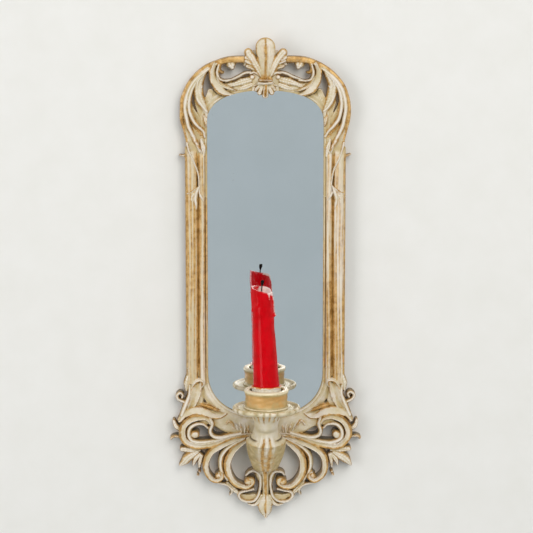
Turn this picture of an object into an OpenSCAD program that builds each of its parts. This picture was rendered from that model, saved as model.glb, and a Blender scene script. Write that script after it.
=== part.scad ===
// Wall sconce: an arched mirror in a carved, painted frame, with one candle on a projecting bracket.
// X runs to the viewer's right, -Y out of the wall, +Z up. The wall is the plane y = 0.
// The origin is the centre of the keyhole in the hanger plate, on the wall plane.

/* [Mirror] */
// Width of the mirror that shows
sight_w = 100; // [90:1:125]
// Height of the mirror that shows
sight_h = 284; // [230:1:350]
// Rise of the flat arch over the mirror's straight sides
arch_rise = 27; // [22:1:40]
// Drop of the curve under the mirror's straight sides
foot_drop = 40; // [30:1:46]
// Thickness of the mirror glass
glass_t = 3; // [2:0.5:4]
// Thickness of the backing board
board_t = 3; // [2:0.5:4]
// How far the pane reaches under the frame's lip
lap = 3.5; // [2.5:0.5:4]

/* [Frame] */
// Width of each stile
stile_w = 19; // [16:0.5:24]
// Thickness of the stiles in front of the glass
stile_front = 6; // [5:0.5:9]
// Thickness of the pierced ground of the crown and apron
ground_t = 11; // [10:0.5:14]
// Height of the carving above the ground
carving_h = 7; // [4:0.5:9]
// Diameter of the dowels between the frame's members
dowel_d = 4; // [3:0.5:5]
// Length of those dowels
dowel_l = 22; // [16:1:30]

/* [Hanging and backing hardware] */
// Radius of the round part of the hanger's keyhole
keyhole_r = 3.6; // [3:0.1:4]
// Radius of the keyhole's slot
slot_r = 1.8; // [1.4:0.1:2]
// Thickness of the hanger plate
plate_t = 1.2; // [0.8:0.1:1.6]
// Length of a turn button from its pivot to its tip
button_reach = 11; // [10:0.5:12]
// Width of a turn button
button_w = 6.5; // [5:0.5:8]
// Thickness of a turn button
button_t = 1; // [0.8:0.1:1.3]

/* [Bracket, cup and candle] */
// Diameter of the candle at its base
candle_d = 22.2; // [18:0.2:27]
// Height of the candle above the sleeve
candle_h = 83; // [40:1:160]
// Depth of the candle in the sleeve
candle_in = 13.4; // [10:0.2:18]
// Distance from the wall to the candle's axis
reach = 58; // [50:1:75]
// Wall thickness of the candle sleeve
sleeve_t = 1.1; // [0.8:0.1:1.6]
// Clear gap between the sleeve and the cup
cup_gap = 1.7; // [1:0.1:3]
// Wall thickness of the candle cup at its rim
cup_wall = 4.9; // [3.5:0.1:7]
// How far the drip tray stands out past the cup's rim
tray_rim = 10; // [6:0.5:16]

/* [Hidden] */
$fn = 64;
eps = 0.01;

// The carving is drawn for a frame 138 mm wide over its stiles, and grows with the frame.
frame_w = sight_w + 2 * stile_w;
k = frame_w / 138;

// Depths, measured out from the wall
back_gap = 3;
board_back = back_gap;
glass_back = board_back + board_t;
glass_front = glass_back + glass_t;
stile_d = glass_front + stile_front;
carved_t = ground_t + carving_h;
crest_t = carved_t + 5;

// Fits
pane_gap = 1;
hole_gap = 0.05;

// Hanger plate, which ends above the recess for the pane
plate_w = 15;
plate_top = 15;
plate_foot = -10;
plate_screw_z = [plate_top - 3, plate_foot + 3];
slot_rise = 5;
plate_screw_r = 1.2;
plate_head_r = 2;
boss_w = plate_w + 6;
boss_top = plate_top + 2;
block_t = 10;

// Heights
rabbet_grow = lap + pane_gap;
sight_top = plate_foot - 2.5 - rabbet_grow;
sight_bottom = sight_top - sight_h;
apron_z = sight_bottom + 6 * k;
crown_joint = sight_top - 91 * k;
apron_joint = apron_z + 37 * k;
fullness = 2.3;
stile_in = sight_w / 2;
stile_out = stile_in + stile_w;

// Turn buttons pivot on the solid part of the stiles
button_x = stile_in + rabbet_grow + (stile_w - rabbet_grow) * 0.38;
button_z = [crown_joint - 28, apron_joint + 28];
button_heel = button_w / 2;
button_screw_r = 1.5;
button_screw_l = 9;

// Candle, sleeve, cup and tray share the candle's axis
candle_gap = 0.15;
candle_r = candle_d / 2;
sleeve_in_r = candle_r + candle_gap;
sleeve_r = sleeve_in_r + sleeve_t;
cup_hole_r = sleeve_r + cup_gap;
cup_r = cup_hole_r + cup_wall;
tray_r = cup_r + tray_rim;
tray_seat = apron_z + 9 * k;
tray_floor = 3;
cup_floor = 2;
sleeve_floor = 1.4;
sleeve_proud = 3.2;
washer_t = 0.7;
screw_head_t = 1.7;
cup_seat = tray_seat + tray_floor;
sleeve_seat = cup_seat + cup_floor;
washer_seat = sleeve_seat + sleeve_floor;
candle_seat = washer_seat + washer_t + screw_head_t + 0.1;
sleeve_top = candle_seat + candle_in;
cup_top = sleeve_top - sleeve_proud;
cup_screw_r = 2;
cup_screw_l = 14;
neck_top_r = cup_r * 0.72;
bracket_foot = apron_z - 53 * k;
bracket_screw_r = 2;
bracket_screw_z = [apron_z - 17 * k, apron_z - 38 * k];
bracket_bite = 14;
pad_t = ground_t + 2;

// Strokes of the carving, for the side with x > 0: a centre line and the widths at its start,
// middle and end. Crown strokes are drawn from the origin, apron strokes from the height apron_z.
crown_strokes = [
    [[[14, 10], [27, 12], [40, 9], [52, 2.5], [62, -6.5], [68.5, -17], [71.3, -29], [71, -41],
      [69, -53], [65.5, -64], [60.5, -77], [57.5, -90]], [4, 5, 3]],
    [[[34, 9], [41.5, 3.5], [45, -4], [45, -11], [42, -17.5], [36, -21.5], [28, -22]], [4, 5, 3]],
    [[[39, 6], [42, -3], [39, -10], [33, -13.5], [26, -15.5]], [3, 5, 3]],
    [[[42, -13], [34, -17.5], [25, -20]], [6, 7, 2]],
    [[[45, 6], [54, 0], [58, -7.5], [58.5, -16], [55, -23], [49, -25]], [4, 5, 4]],
    [[[51, 0], [55.5, -8], [53.5, -14.5]], [4, 5, 3]],
    [[[57, 0], [64.5, -12], [67, -22], [66, -31], [61, -38], [54.5, -41]], [3, 4.5, 4]],
    [[[59, -16], [58.5, -25], [53, -31]], [3, 4.5, 4]],
    [[[66, -13], [69.5, -27], [69, -38], [65, -47], [58, -54], [52.5, -56.5]], [3, 4.5, 4]],
    [[[70, -44], [66, -56], [60, -64], [54.5, -70]], [3, 6.5, 2]],
    [[[50, -17], [46, -20], [45, -27]], [5, 6, 5]],
    [[[46.5, -26], [50, -34], [52.5, -44]], [8, 9, 7]],
    [[[67, -40], [62, -56], [59, -70]], [5, 12, 11]],
    [[[6, 5], [12, 8], [20, 9.5]], [6, 5, 4]],
    [[[5, -1], [13, -0.5], [21, -3.5], [29, -7.5], [36, -10]], [6, 6, 5]],
    [[[29, 10], [29, 2.5]], [7, 5, 3]],
    [[[17, 9], [15.5, 4]], [5, 4, 2]],
    [[[38.5, 7], [38, 0]], [4, 3, 2]],
    [[[66, -69], [69.5, -71], [73, -72]], [4, 3, 1.6]],
];
apron_strokes = [
    [[[66, 19], [65.5, 28], [65, 35.5]], [5, 7.5, 1.4]],
    [[[63, 8], [65, 18], [62, 25], [57, 26.5], [52.5, 25]], [5, 6, 2]],
    [[[66, 4], [69.5, 8], [73, 12.5]], [4, 3.5, 6.5]],
    [[[37, -3], [44, -1], [50, 3], [56, 5.5], [63, 4.5], [69, -0.5], [73.5, -8], [75, -15.5],
      [73.5, -24], [69, -29.5], [60, -32], [51, -32], [41, -30], [31, -26.5], [21, -23.5], [10, -23]],
     [3, 7, 5]],
    [[[47, -13], [49, -7.5], [54, -5.5], [60.5, -6.5], [66, -10.5], [68.5, -17], [67.5, -24],
      [63, -29]], [3, 6, 3]],
    [[[51, -12], [56, -11.5], [62, -13.5], [65, -18.5], [64, -23], [60, -27], [52.5, -28],
      [44.5, -27]], [3, 4, 3]],
    [[[22, -24], [32, -24], [40, -23.5], [45, -20.5], [46, -14], [44.5, -7]], [4, 4, 3]],
    [[[38, -5], [28, -8], [14, -12]], [8, 12, 14]],
    [[[74, -24], [78.5, -22.5], [81.5, -24]], [4, 3, 2]],
    [[[75, -15], [78.5, -11], [80.5, -7.5]], [4, 4, 2]],
    [[[54, -34], [64, -34], [71, -34.5], [74, -37]], [3, 4.5, 2]],
    [[[55, -36], [63.5, -40.5], [70, -45], [74, -49]], [3, 8, 1.6]],
    [[[55, -37], [59, -43], [61.5, -48.5]], [4, 4.5, 2]],
    [[[54.5, -43], [57, -50], [58.5, -58]], [4, 4, 2]],
    [[[12, -24], [24, -25.5], [34, -28.5], [42.5, -33], [49, -38.5], [52.5, -45], [53.5, -52],
      [52, -58.5], [47.5, -63.5], [41.5, -64.5], [37, -61], [38.5, -57.5]], [4, 6, 5]],
    [[[10, -26], [20, -28.5], [27, -33.5], [32, -41], [34, -49.5], [32.5, -57.5], [28, -64.5],
      [22, -68.5], [15.5, -70], [10.5, -67.5], [12, -63.5]], [5, 6, 5]],
    [[[43, -65.5], [35, -66.5], [29.5, -69.5], [28.5, -73.5], [30.5, -76.5]], [3, 2.5, 2]],
    [[[30, -67], [22, -72], [13, -73]], [4, 3.5, 3]],
    [[[3, -62], [5.5, -74], [9.5, -79], [15.5, -81.5], [20.5, -80.5], [23, -77], [20.5, -72.5]],
     [6, 3, 3]],
    [[[3, -79], [8, -85], [14, -84]], [3, 3.5, 2]],
    [[[13, -52], [9, -58], [10, -66]], [3, 4, 5]],
];
// Strokes on the frame's own centre line
apron_middle = [
    [[[0, 2], [0, -22], [0, -48]], [30, 24, 13]],
    [[[0, -44], [0, -62], [0, -80]], [16, 8, 7]],
    [[[0, -74], [0, -84], [0, -96]], [6, 12.5, 1.6]],
];
fan_pivot = [9, -21.5];
fan_tips = [[31.5, -11], [28, -8.5], [23.5, -7], [18.5, -6.5], [14, -7.5]];
crest_petals = [
    [[[0, -3], [0, 5], [0, 11], [0, 15.5], [0, 19.5], [0, 25]], [9, 12, 9]],
    [[[3, -1], [7, 5], [11, 10.5], [15.5, 16.5]], [6, 7, 6]],
    [[[3, -4], [8, 3], [14, 5]], [4, 5, 3]],
    [[[2, -9], [5, -15], [8.5, -20]], [4, 6, 3]],
];
crest_middle = [[[0, -8], [0, -14], [0, -22]], [8, 8, 5]];
husk_strokes = [
    [[[57, 11], [57.5, 0], [60, -11]], [3, 7, 1.6]],
    [[[58, -1], [62, -4], [66.5, -3]], [3, 4, 1.6]],
    [[[57, -3], [54, -6], [52.5, -8]], [3, 3.5, 1.6]],
];

// A smooth curve through the points p, with n steps between neighbours
function between(a, b, c, d, t) =
    0.5 * (2 * b + (c - a) * t + (2 * a - 5 * b + 4 * c - d) * t * t + (3 * b - a - 3 * c + d) * t * t * t);
function curve(p, n) = let (m = len(p) - 1)
    [for (i = [0:m - 1], j = [0:n - 1]) between(p[max(i - 1, 0)], p[i], p[i + 1], p[min(i + 2, m)], j / n),
     p[m]];
function ease(t) = t * t * (3 - 2 * t);
function width(w, t) = t < 0.5 ? w[0] + (w[1] - w[0]) * ease(2 * t) : w[1] + (w[2] - w[1]) * ease(2 * t - 1);
function normal(p, i) = let (m = len(p) - 1, d = p[min(i + 1, m)] - p[max(i - 1, 0)])
    [-d[1], d[0]] / max(norm(d), eps);

// One stroke as a flat shape; share thins it towards its centre line
module stroke(s, share = 1) {
    steps = share < 1 ? 2 : 3;
    p = curve(s[0], steps);
    m = len(p) - 1;
    half = [for (i = [0:m]) share * width(s[1], i / m) / 2];
    for (i = [0:m - 1])
        polygon([p[i] + normal(p, i) * half[i], p[i + 1] + normal(p, i + 1) * half[i + 1],
                 p[i + 1] - normal(p, i + 1) * half[i + 1], p[i] - normal(p, i) * half[i]]);
    for (i = [0, m]) translate(p[i]) circle(half[i], $fn = 12);
}

// Both sides of a list of strokes; the narrow ones have no crest of their own
module strokes(list, share = 1) {
    for (s = list, side = [-1, 1]) if (share == 1 || s[1][1] >= 4.5) scale([side, 1]) stroke(s, share);
}

// Stands a flat drawing up as relief, from one distance off the wall to another
module relief(from, to) translate([0, -from, 0]) rotate([90, 0, 0]) linear_extrude(to - from) children();

// One end of the opening, fuller at its shoulders than an ellipse
function arch(r, rise, z, up) = let (n = 2 / fullness)
    [for (i = [0:24]) let (a = 180 * i / 24)
        [up * r * sign(cos(a)) * pow(abs(cos(a)), n), z + up * rise * pow(sin(a), n)]];

// The opening's outline, grown outwards by grow
module opening(grow = 0) {
    r = stile_in + grow;
    polygon(concat(arch(r, arch_rise + grow, sight_top - arch_rise, 1),
                   arch(r, foot_drop + grow, sight_bottom + foot_drop, -1)));
}

// The plain band of frame round the opening, on one side of a joint
module band(grow, joint, up) {
    reach_z = 4 * frame_w;
    intersection() {
        opening(grow);
        translate([-frame_w, up ? joint : joint - reach_z]) square([2 * frame_w, reach_z]);
    }
}

module rabbet() relief(-1, glass_front) opening(rabbet_grow);

// The moulded rail of one side, between two heights: lip, bead, flute and rounded outer edge
module rail(side, from, to) {
    lip = 1.6;
    bead_r = 2.4;
    flute_r = 2.6;
    outer_w = stile_w - lip - 2 * bead_r - 2 * flute_r;
    step_d = stile_d - 3.4;
    bead = [for (a = [0:20:180]) [lip + bead_r - bead_r * cos(a), step_d + 0.6 + bead_r * sin(a)]];
    flute = [for (a = [0:20:180])
        [lip + 2 * bead_r + flute_r - flute_r * cos(a), step_d + 1.4 - 0.5 * flute_r * sin(a)]];
    outer = [for (a = [0:15:90])
        [stile_w - outer_w + outer_w * sin(a), step_d + 0.4 + (stile_d - step_d - 0.4) * cos(a)]];
    profile = concat([[0, 0], [0, step_d - 0.6], [lip, step_d]], bead, flute, outer, [[stile_w, 0]]);
    translate([0, 0, from]) linear_extrude(to - from)
        polygon([for (p = profile) [side * (stile_in + p[0]), -p[1]]]);
}

// The solid middle of the crown, which the hanger's block is let into and the crest sits on
module boss(w, top) {
    translate([-w / 2, sight_top]) square([w, top - sight_top]);
}

module crown_shape() {
    scale([k, k]) strokes(crown_strokes);
    boss(boss_w, boss_top);
    band(9, crown_joint + eps, true);
}

module crown_crest() {
    scale([k, k]) strokes(crown_strokes, 0.5);
    boss(boss_w - 3, plate_top);
}

module apron_shape(share = 1) translate([0, apron_z]) scale([k, k]) {
    strokes(apron_strokes, share);
    for (s = apron_middle) stroke(s, share);
    for (tip = fan_tips, side = [-1, 1])
        scale([side, 1]) stroke([[fan_pivot, (fan_pivot + tip) / 2, tip], [3, 4.5, 3]], share);
}

// The ground of a carved member and the crests that stand on it, open where the mirror shows
module carved() {
    relief(0, ground_t) offset(delta = eps) difference() {
        children(0);
        opening();
    }
    relief(ground_t - 0.5, carved_t) offset(delta = eps) difference() {
        children(1);
        opening(0.6);
    }
}

// Two dowel holes, or their dowels, across each joint
module at_dowels() {
    for (side = [-1, 1], joint = [crown_joint, apron_joint], share = [0.32, 0.72])
        translate([side * (stile_in + rabbet_grow + (stile_w - rabbet_grow) * share), -glass_front / 2 - 1,
                   joint]) children();
}

module dowel_holes() at_dowels() cylinder(r = dowel_d / 2 + hole_gap, h = dowel_l + 1, center = true);

// The recess behind a turn button, which opens into the rabbet
module button_recess(side, z) {
    turn_r = button_reach + 1;
    translate([side > 0 ? stile_in - 2 : -button_x - button_w / 2 - 1, -back_gap, z - button_w])
        cube([button_x - stile_in + 3 + button_w / 2, back_gap + 1, button_w + turn_r]);
}

module stile(side) difference() {
    rail(side, apron_joint, crown_joint);
    rabbet();
    dowel_holes();
    for (z = button_z) {
        button_recess(side, z);
        translate([side * button_x, 0, z]) rotate([90, 0, 0])
            cylinder(r = button_screw_r + hole_gap, h = back_gap + button_screw_l);
    }
}
module left_stile() color("antiquewhite") stile(-1);
module right_stile() color("antiquewhite") stile(1);

module crown() color("antiquewhite") difference() {
    union() {
        carved() {
            crown_shape();
            crown_crest();
        }
        for (side = [-1, 1]) rail(side, crown_joint, crown_joint + 38 * k);
    }
    rabbet();
    dowel_holes();
    relief(-1, block_t) block_outline(boss_top + 1);
}

module apron() color("antiquewhite") difference() {
    union() {
        carved() {
            union() {
                apron_shape();
                band(9, apron_joint - eps, false);
            }
            apron_shape(0.5);
        }
        for (side = [-1, 1]) rail(side, apron_joint - 12 * k, apron_joint);
        // Flat pad that the bracket is screwed to
        relief(0, pad_t) translate([0, apron_z]) scale([k, k]) stroke(apron_middle[0], 0.8);
    }
    rabbet();
    dowel_holes();
    // Flat front for the bracket's back
    translate([-11 * k, -carved_t - 1, bracket_foot - 0.5])
        cube([22 * k, carved_t + 1 - pad_t, apron_z - 2 * k - bracket_foot + 0.5]);
    for (z = bracket_screw_z) translate([0, 1, z]) rotate([90, 0, 0]) {
        cylinder(r = bracket_screw_r + hole_gap, h = carved_t + 3);
        cylinder(r = bracket_screw_r + 2.2, h = 4);
    }
}

// The bud, its side leaves, the tied band and the shell below it
module crest_palmette() color("ivory") {
    relief(carved_t, crest_t - 2) offset(delta = eps) scale([k, k]) {
        strokes([for (i = [1:3]) crest_petals[i]]);
        stroke(crest_petals[0]);
        stroke(crest_middle);
    }
    relief(crest_t - 2.5, crest_t) offset(delta = eps) scale([k, k]) {
        stroke(crest_petals[0], 0.6);
        strokes([for (i = [1:3]) crest_petals[i]], 0.5);
        translate([0, -8]) square([13, 4], center = true);
    }
}

// Leaf drop that covers the joint between crown and stile
module husk(side) {
    relief(stile_d, stile_d + 2) offset(delta = eps) translate([0, crown_joint]) scale([side, 1])
        for (s = husk_strokes) stroke([[for (p = s[0]) [p[0] - 50 + stile_in, p[1]]], s[1]]);
}
module left_husk() color("ivory") husk(-1);
module right_husk() color("ivory") husk(1);

module frame_dowels() color("burlywood") at_dowels() cylinder(r = dowel_d / 2, h = dowel_l, center = true);

module mirror_pane() color("lightsteelblue") relief(glass_back, glass_front) opening(lap);
module backing_board() color("peru") relief(board_back, glass_back) opening(lap);

// A flat metal button that holds the board in, turned up to free it
module turn_button(side, z) color("silver") translate([side * button_x, -back_gap, z]) rotate([-90, 0, 0])
    linear_extrude(button_t) difference() {
        union() {
            circle(button_w / 2);
            translate([side > 0 ? -button_reach + button_w / 2 : 0, -button_w / 2])
                square([button_reach - button_w / 2, button_w]);
            translate([-side * (button_reach - button_w / 2), 0]) circle(button_w / 2);
        }
        circle(button_screw_r + hole_gap);
    }
module turn_button_upper_left() turn_button(-1, button_z[0]);
module turn_button_upper_right() turn_button(1, button_z[0]);
module turn_button_lower_left() turn_button(-1, button_z[1]);
module turn_button_lower_right() turn_button(1, button_z[1]);

// A round-headed screw whose head bears on the plane z = 0, with its shank below
module screw(shank_r, shank_l, head_r, head_t) {
    difference() {
        cylinder(r = head_r, h = head_t);
        translate([-head_r, -0.4, head_t - 0.6]) cube([2 * head_r, 0.8, 1]);
    }
    translate([0, 0, -shank_l]) cylinder(r = shank_r, h = shank_l);
}

module turn_button_screws() color("silver")
    for (side = [-1, 1], z = button_z) translate([side * button_x, -back_gap + button_t + hole_gap, z])
        rotate([-90, 0, 0]) screw(button_screw_r, button_screw_l, 2.8, 1.4);

module block_outline(top) {
    translate([-boss_w / 2, plate_foot - 1]) square([boss_w, top - plate_foot + 1]);
}

// Hardwood block glued into the back of the crown, which the hanger is screwed to
module hanger_block() color("burlywood") difference() {
    relief(0, block_t) block_outline(boss_top);
    translate([-plate_w / 2 - 0.2, -plate_t, plate_foot - 0.2])
        cube([plate_w + 0.4, plate_t + 1, plate_top - plate_foot + 0.4]);
    // Room for the head of the wall screw
    translate([-keyhole_r - 0.5, -8, -keyhole_r - 0.5])
        cube([2 * keyhole_r + 1, 9, 2 * keyhole_r + slot_rise + 1]);
    for (z = plate_screw_z) translate([0, 0, z]) rotate([90, 0, 0])
        cylinder(r = plate_screw_r + hole_gap, h = 9);
}

module hanger_plate() color("silver") difference() {
    relief(0, plate_t) difference() {
        translate([-plate_w / 2, plate_foot]) square([plate_w, plate_top - plate_foot]);
        circle(keyhole_r);
        translate([-slot_r, 0]) square([2 * slot_r, slot_rise]);
        translate([0, slot_rise]) circle(slot_r);
    }
    for (z = plate_screw_z) translate([0, 0, z]) rotate([90, 0, 0]) flat_head(hole_gap, plate_t + 1);
}

// A countersunk screw's shape, with its head's face on z = 0 and its point towards +z
module flat_head(gap, length) {
    cylinder(r1 = plate_head_r + gap, r2 = plate_screw_r + gap, h = plate_head_r - plate_screw_r);
    cylinder(r = plate_screw_r + gap, h = length);
}

module hanger_screws() color("silver") for (z = plate_screw_z) translate([0, 0, z]) rotate([90, 0, 0])
    difference() {
        flat_head(0, 8);
        translate([-plate_head_r, -0.3, -1]) cube([2 * plate_head_r, 0.6, 1.5]);
    }

// Rings of the bracket, from its foot on the apron up to the tray: height, centre's distance from the
// wall, half width and half depth
function bracket_rings() = let (h = tray_seat - bracket_foot, d = (reach + 5 - pad_t) / 2)
    concat([for (r = [[0, 6, 0.16], [0.06, 9, 0.27], [0.14, 11.5, 0.38], [0.28, 14.8, 0.6],
                      [0.42, 17, 0.78], [0.52, 17.6, 0.88], [0.6, 14, 0.94], [0.68, 11, 1]])
                [bracket_foot + r[0] * h, pad_t + r[2] * d, r[1] * k, r[2] * d]],
           [[bracket_foot + 0.8 * h, reach - 7, 9.5, 13],
            [bracket_foot + 0.9 * h, reach - 4, 10.5, 11.5],
            [tray_seat - 2, reach, neck_top_r, neck_top_r],
            [tray_seat, reach, neck_top_r, neck_top_r]]);

// The carved arm that carries the tray, flat where it meets the apron
module bracket_body() {
    sides = 28;
    rings = bracket_rings();
    n = len(rings);
    points = [for (r = rings, i = [0:sides - 1])
        [r[2] * sin(360 * i / sides), -max(r[1] + r[3] * cos(360 * i / sides), pad_t), r[0]]];
    walls = [for (j = [0:n - 2], i = [0:sides - 1]) let (a = j * sides + i, b = j * sides + (i + 1) % sides)
        each [[a, b, b + sides], [a, b + sides, a + sides]]];
    polyhedron(points, concat(walls, [[for (i = [sides - 1:-1:0]) i]],
                              [[for (i = [0:sides - 1]) (n - 1) * sides + i]]));
}

module bracket() color("antiquewhite") difference() {
    bracket_body();
    for (z = bracket_screw_z) translate([0, -pad_t + 1, z]) rotate([90, 0, 0])
        cylinder(r = bracket_screw_r + hole_gap, h = bracket_bite + 1);
    translate([0, -reach, tray_seat - cup_screw_l])
        cylinder(r = cup_screw_r + hole_gap, h = cup_screw_l + 1);
}

module bracket_screws() color("silver") for (z = bracket_screw_z) translate([0, -3, z]) rotate([-90, 0, 0])
    screw(bracket_screw_r, pad_t - 4 + bracket_bite, 3.8, 2);

module on_candle_axis() translate([0, -reach, 0]) children();

// Shallow dish with a raised, thick edge
module drip_tray() color("wheat") on_candle_axis() translate([0, 0, tray_seat]) difference() {
    rotate_extrude() polygon([[0, 0], [neck_top_r + 1, 0], [tray_r - 3, 0.8], [tray_r - 0.8, 0.8],
        [tray_r, 1.8], [tray_r, 3.6], [tray_r - 0.8, 4.4], [tray_r - 2, 4.4],
        [tray_r - 4, tray_floor + 0.2], [cup_r, tray_floor], [0, tray_floor]]);
    translate([0, 0, -1]) cylinder(r = cup_screw_r + 0.2, h = tray_floor + 2);
}

module candle_cup() color("tan") on_candle_axis() difference() {
    rotate_extrude() polygon([[0, cup_seat], [cup_r, cup_seat], [cup_r, cup_seat + 1.2],
        [cup_r - 1, cup_seat + 2], [cup_r - 1, cup_top - 4.4], [cup_r - 0.4, cup_top - 2.8],
        [cup_r, cup_top - 2.2], [cup_r, cup_top - 0.6], [cup_r - 0.6, cup_top], [0, cup_top]]);
    translate([0, 0, sleeve_seat]) cylinder(r = cup_hole_r, h = cup_top - sleeve_seat + 1);
    translate([0, 0, cup_seat - 1]) cylinder(r = cup_screw_r + 0.2, h = cup_floor + 2);
}

module candle_sleeve() color("beige") on_candle_axis() difference() {
    union() {
        translate([0, 0, sleeve_seat]) cylinder(r = sleeve_r, h = sleeve_top - sleeve_seat);
        translate([0, 0, sleeve_top - 1.4]) cylinder(r = sleeve_r + 0.8, h = 1.4);
    }
    translate([0, 0, washer_seat]) cylinder(r = sleeve_in_r, h = sleeve_top - washer_seat + 1);
    translate([0, 0, sleeve_seat - 1]) cylinder(r = cup_screw_r + 0.2, h = sleeve_floor + 2);
}

module cup_washer() color("silver") on_candle_axis() translate([0, 0, washer_seat]) difference() {
    cylinder(r = 5, h = washer_t);
    translate([0, 0, -1]) cylinder(r = cup_screw_r + 0.2, h = washer_t + 2);
}

module cup_screw() color("silver") on_candle_axis() translate([0, 0, washer_seat + washer_t])
    screw(cup_screw_r, washer_seat + washer_t - tray_seat + cup_screw_l - 1, 3.8, screw_head_t);

// The burnt candle tapers and leans a little to the left
candle_lean = -3.8;
candle_top_r = candle_r * 0.78;
module candle() color("firebrick") on_candle_axis() {
    translate([0, 0, candle_seat]) cylinder(r = candle_r, h = candle_in + 0.5);
    hull() {
        translate([0, 0, sleeve_top]) cylinder(r = candle_r, h = 1, $fn = 48);
        translate([candle_lean, 0, sleeve_top + candle_h - 1]) cylinder(r = candle_top_r, h = 1, $fn = 48);
    }
}
module candle_wick() color("black") on_candle_axis()
    translate([candle_lean - 0.2, 0, sleeve_top + candle_h]) cylinder(r = 0.8, h = 7, $fn = 24);

crown();
left_stile();
right_stile();
apron();
crest_palmette();
left_husk();
right_husk();
frame_dowels();
mirror_pane();
backing_board();
turn_button_upper_left();
turn_button_upper_right();
turn_button_lower_left();
turn_button_lower_right();
turn_button_screws();
hanger_block();
hanger_plate();
hanger_screws();
bracket();
bracket_screws();
drip_tray();
candle_cup();
candle_sleeve();
cup_washer();
cup_screw();
candle();
candle_wick();
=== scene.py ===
"""Wall sconce: carved and gilded mirror frame, bracket, drip tray, cup and a burnt candle.

Sizes are in millimetres until a mesh is made, which is in metres in the CAD's own frame:
x to the right, y into the wall, z up. A relief's height is its distance off the wall.
"""
import math

import bpy
import numpy as np
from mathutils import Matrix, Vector


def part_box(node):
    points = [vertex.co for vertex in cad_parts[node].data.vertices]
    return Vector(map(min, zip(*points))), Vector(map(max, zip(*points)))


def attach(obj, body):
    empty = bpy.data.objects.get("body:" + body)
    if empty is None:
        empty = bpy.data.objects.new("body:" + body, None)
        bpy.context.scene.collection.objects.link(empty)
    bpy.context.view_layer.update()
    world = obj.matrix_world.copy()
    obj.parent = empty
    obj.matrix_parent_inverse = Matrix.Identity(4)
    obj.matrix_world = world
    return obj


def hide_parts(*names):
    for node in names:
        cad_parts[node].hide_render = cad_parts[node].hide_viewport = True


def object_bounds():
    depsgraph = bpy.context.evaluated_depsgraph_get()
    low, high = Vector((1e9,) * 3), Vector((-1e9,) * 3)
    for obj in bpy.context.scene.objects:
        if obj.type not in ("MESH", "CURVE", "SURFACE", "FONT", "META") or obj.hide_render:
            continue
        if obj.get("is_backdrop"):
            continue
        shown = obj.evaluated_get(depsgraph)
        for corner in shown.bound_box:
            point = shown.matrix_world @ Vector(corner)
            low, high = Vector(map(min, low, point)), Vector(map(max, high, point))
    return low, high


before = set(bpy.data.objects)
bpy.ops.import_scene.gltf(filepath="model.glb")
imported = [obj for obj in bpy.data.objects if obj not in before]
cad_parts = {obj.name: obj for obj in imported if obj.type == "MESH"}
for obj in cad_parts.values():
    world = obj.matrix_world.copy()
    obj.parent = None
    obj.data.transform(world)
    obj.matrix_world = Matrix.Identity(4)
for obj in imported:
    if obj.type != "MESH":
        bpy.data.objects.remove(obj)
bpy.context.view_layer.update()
MM = 0.001
ROOT = "sconce"


def box_mm(node):
    low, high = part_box(node)
    return np.array(low) / MM, np.array(high) / MM


# ---------------------------------------------------------------- places taken from the CAD

STILE_LOW, STILE_HIGH = box_mm("right_stile")
PANE_LOW, PANE_HIGH = box_mm("mirror_pane")
STILE_IN, STILE_OUT = STILE_LOW[0], STILE_HIGH[0]
CROWN_JOINT, APRON_JOINT = STILE_HIGH[2], STILE_LOW[2]
LAP = PANE_HIGH[0] - STILE_IN
SIGHT_TOP, SIGHT_BOTTOM = PANE_HIGH[2] - LAP, PANE_LOW[2] + LAP
GLASS_FRONT = -PANE_LOW[1]
PANE_GAP = 1.0
SCREW_SINK = 4.0
TRAY_LOW, TRAY_HIGH = box_mm("drip_tray")
PANE_EDGE = np.array([v.co for v in bpy.data.objects["mirror_pane"].data.vertices]) / MM
PANE_SIDE = PANE_EDGE[np.abs(PANE_EDGE[:, 0]) > PANE_HIGH[0] - 0.01]
ARCH_Z, FOOT_Z = PANE_SIDE[:, 2].max(), PANE_SIDE[:, 2].min()
FULLNESS = 2.3
AXIS_Y = (TRAY_LOW[1] + TRAY_HIGH[1]) / 2
GROUND = 11.4  # height of the plain ground of the frame
CELL = 0.5  # the relief grid's spacing
EDGE_REACH = 1.5 * CELL  # a shape's height is kept this far outside its own edge
HAND = 0.22  # how far a carver's line strays
THINNEST = 0.6  # least wood between the carved face and the back
OUTLINE_PASSES, COLOUR_PASSES = 5, 40
SHARP_EDGE = 50  # degrees

# ---------------------------------------------------------------- carving, as brush strokes
# Each stroke of the x > 0 side: cross-section, where it is gilded, widths, heights, centre line.

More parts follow.
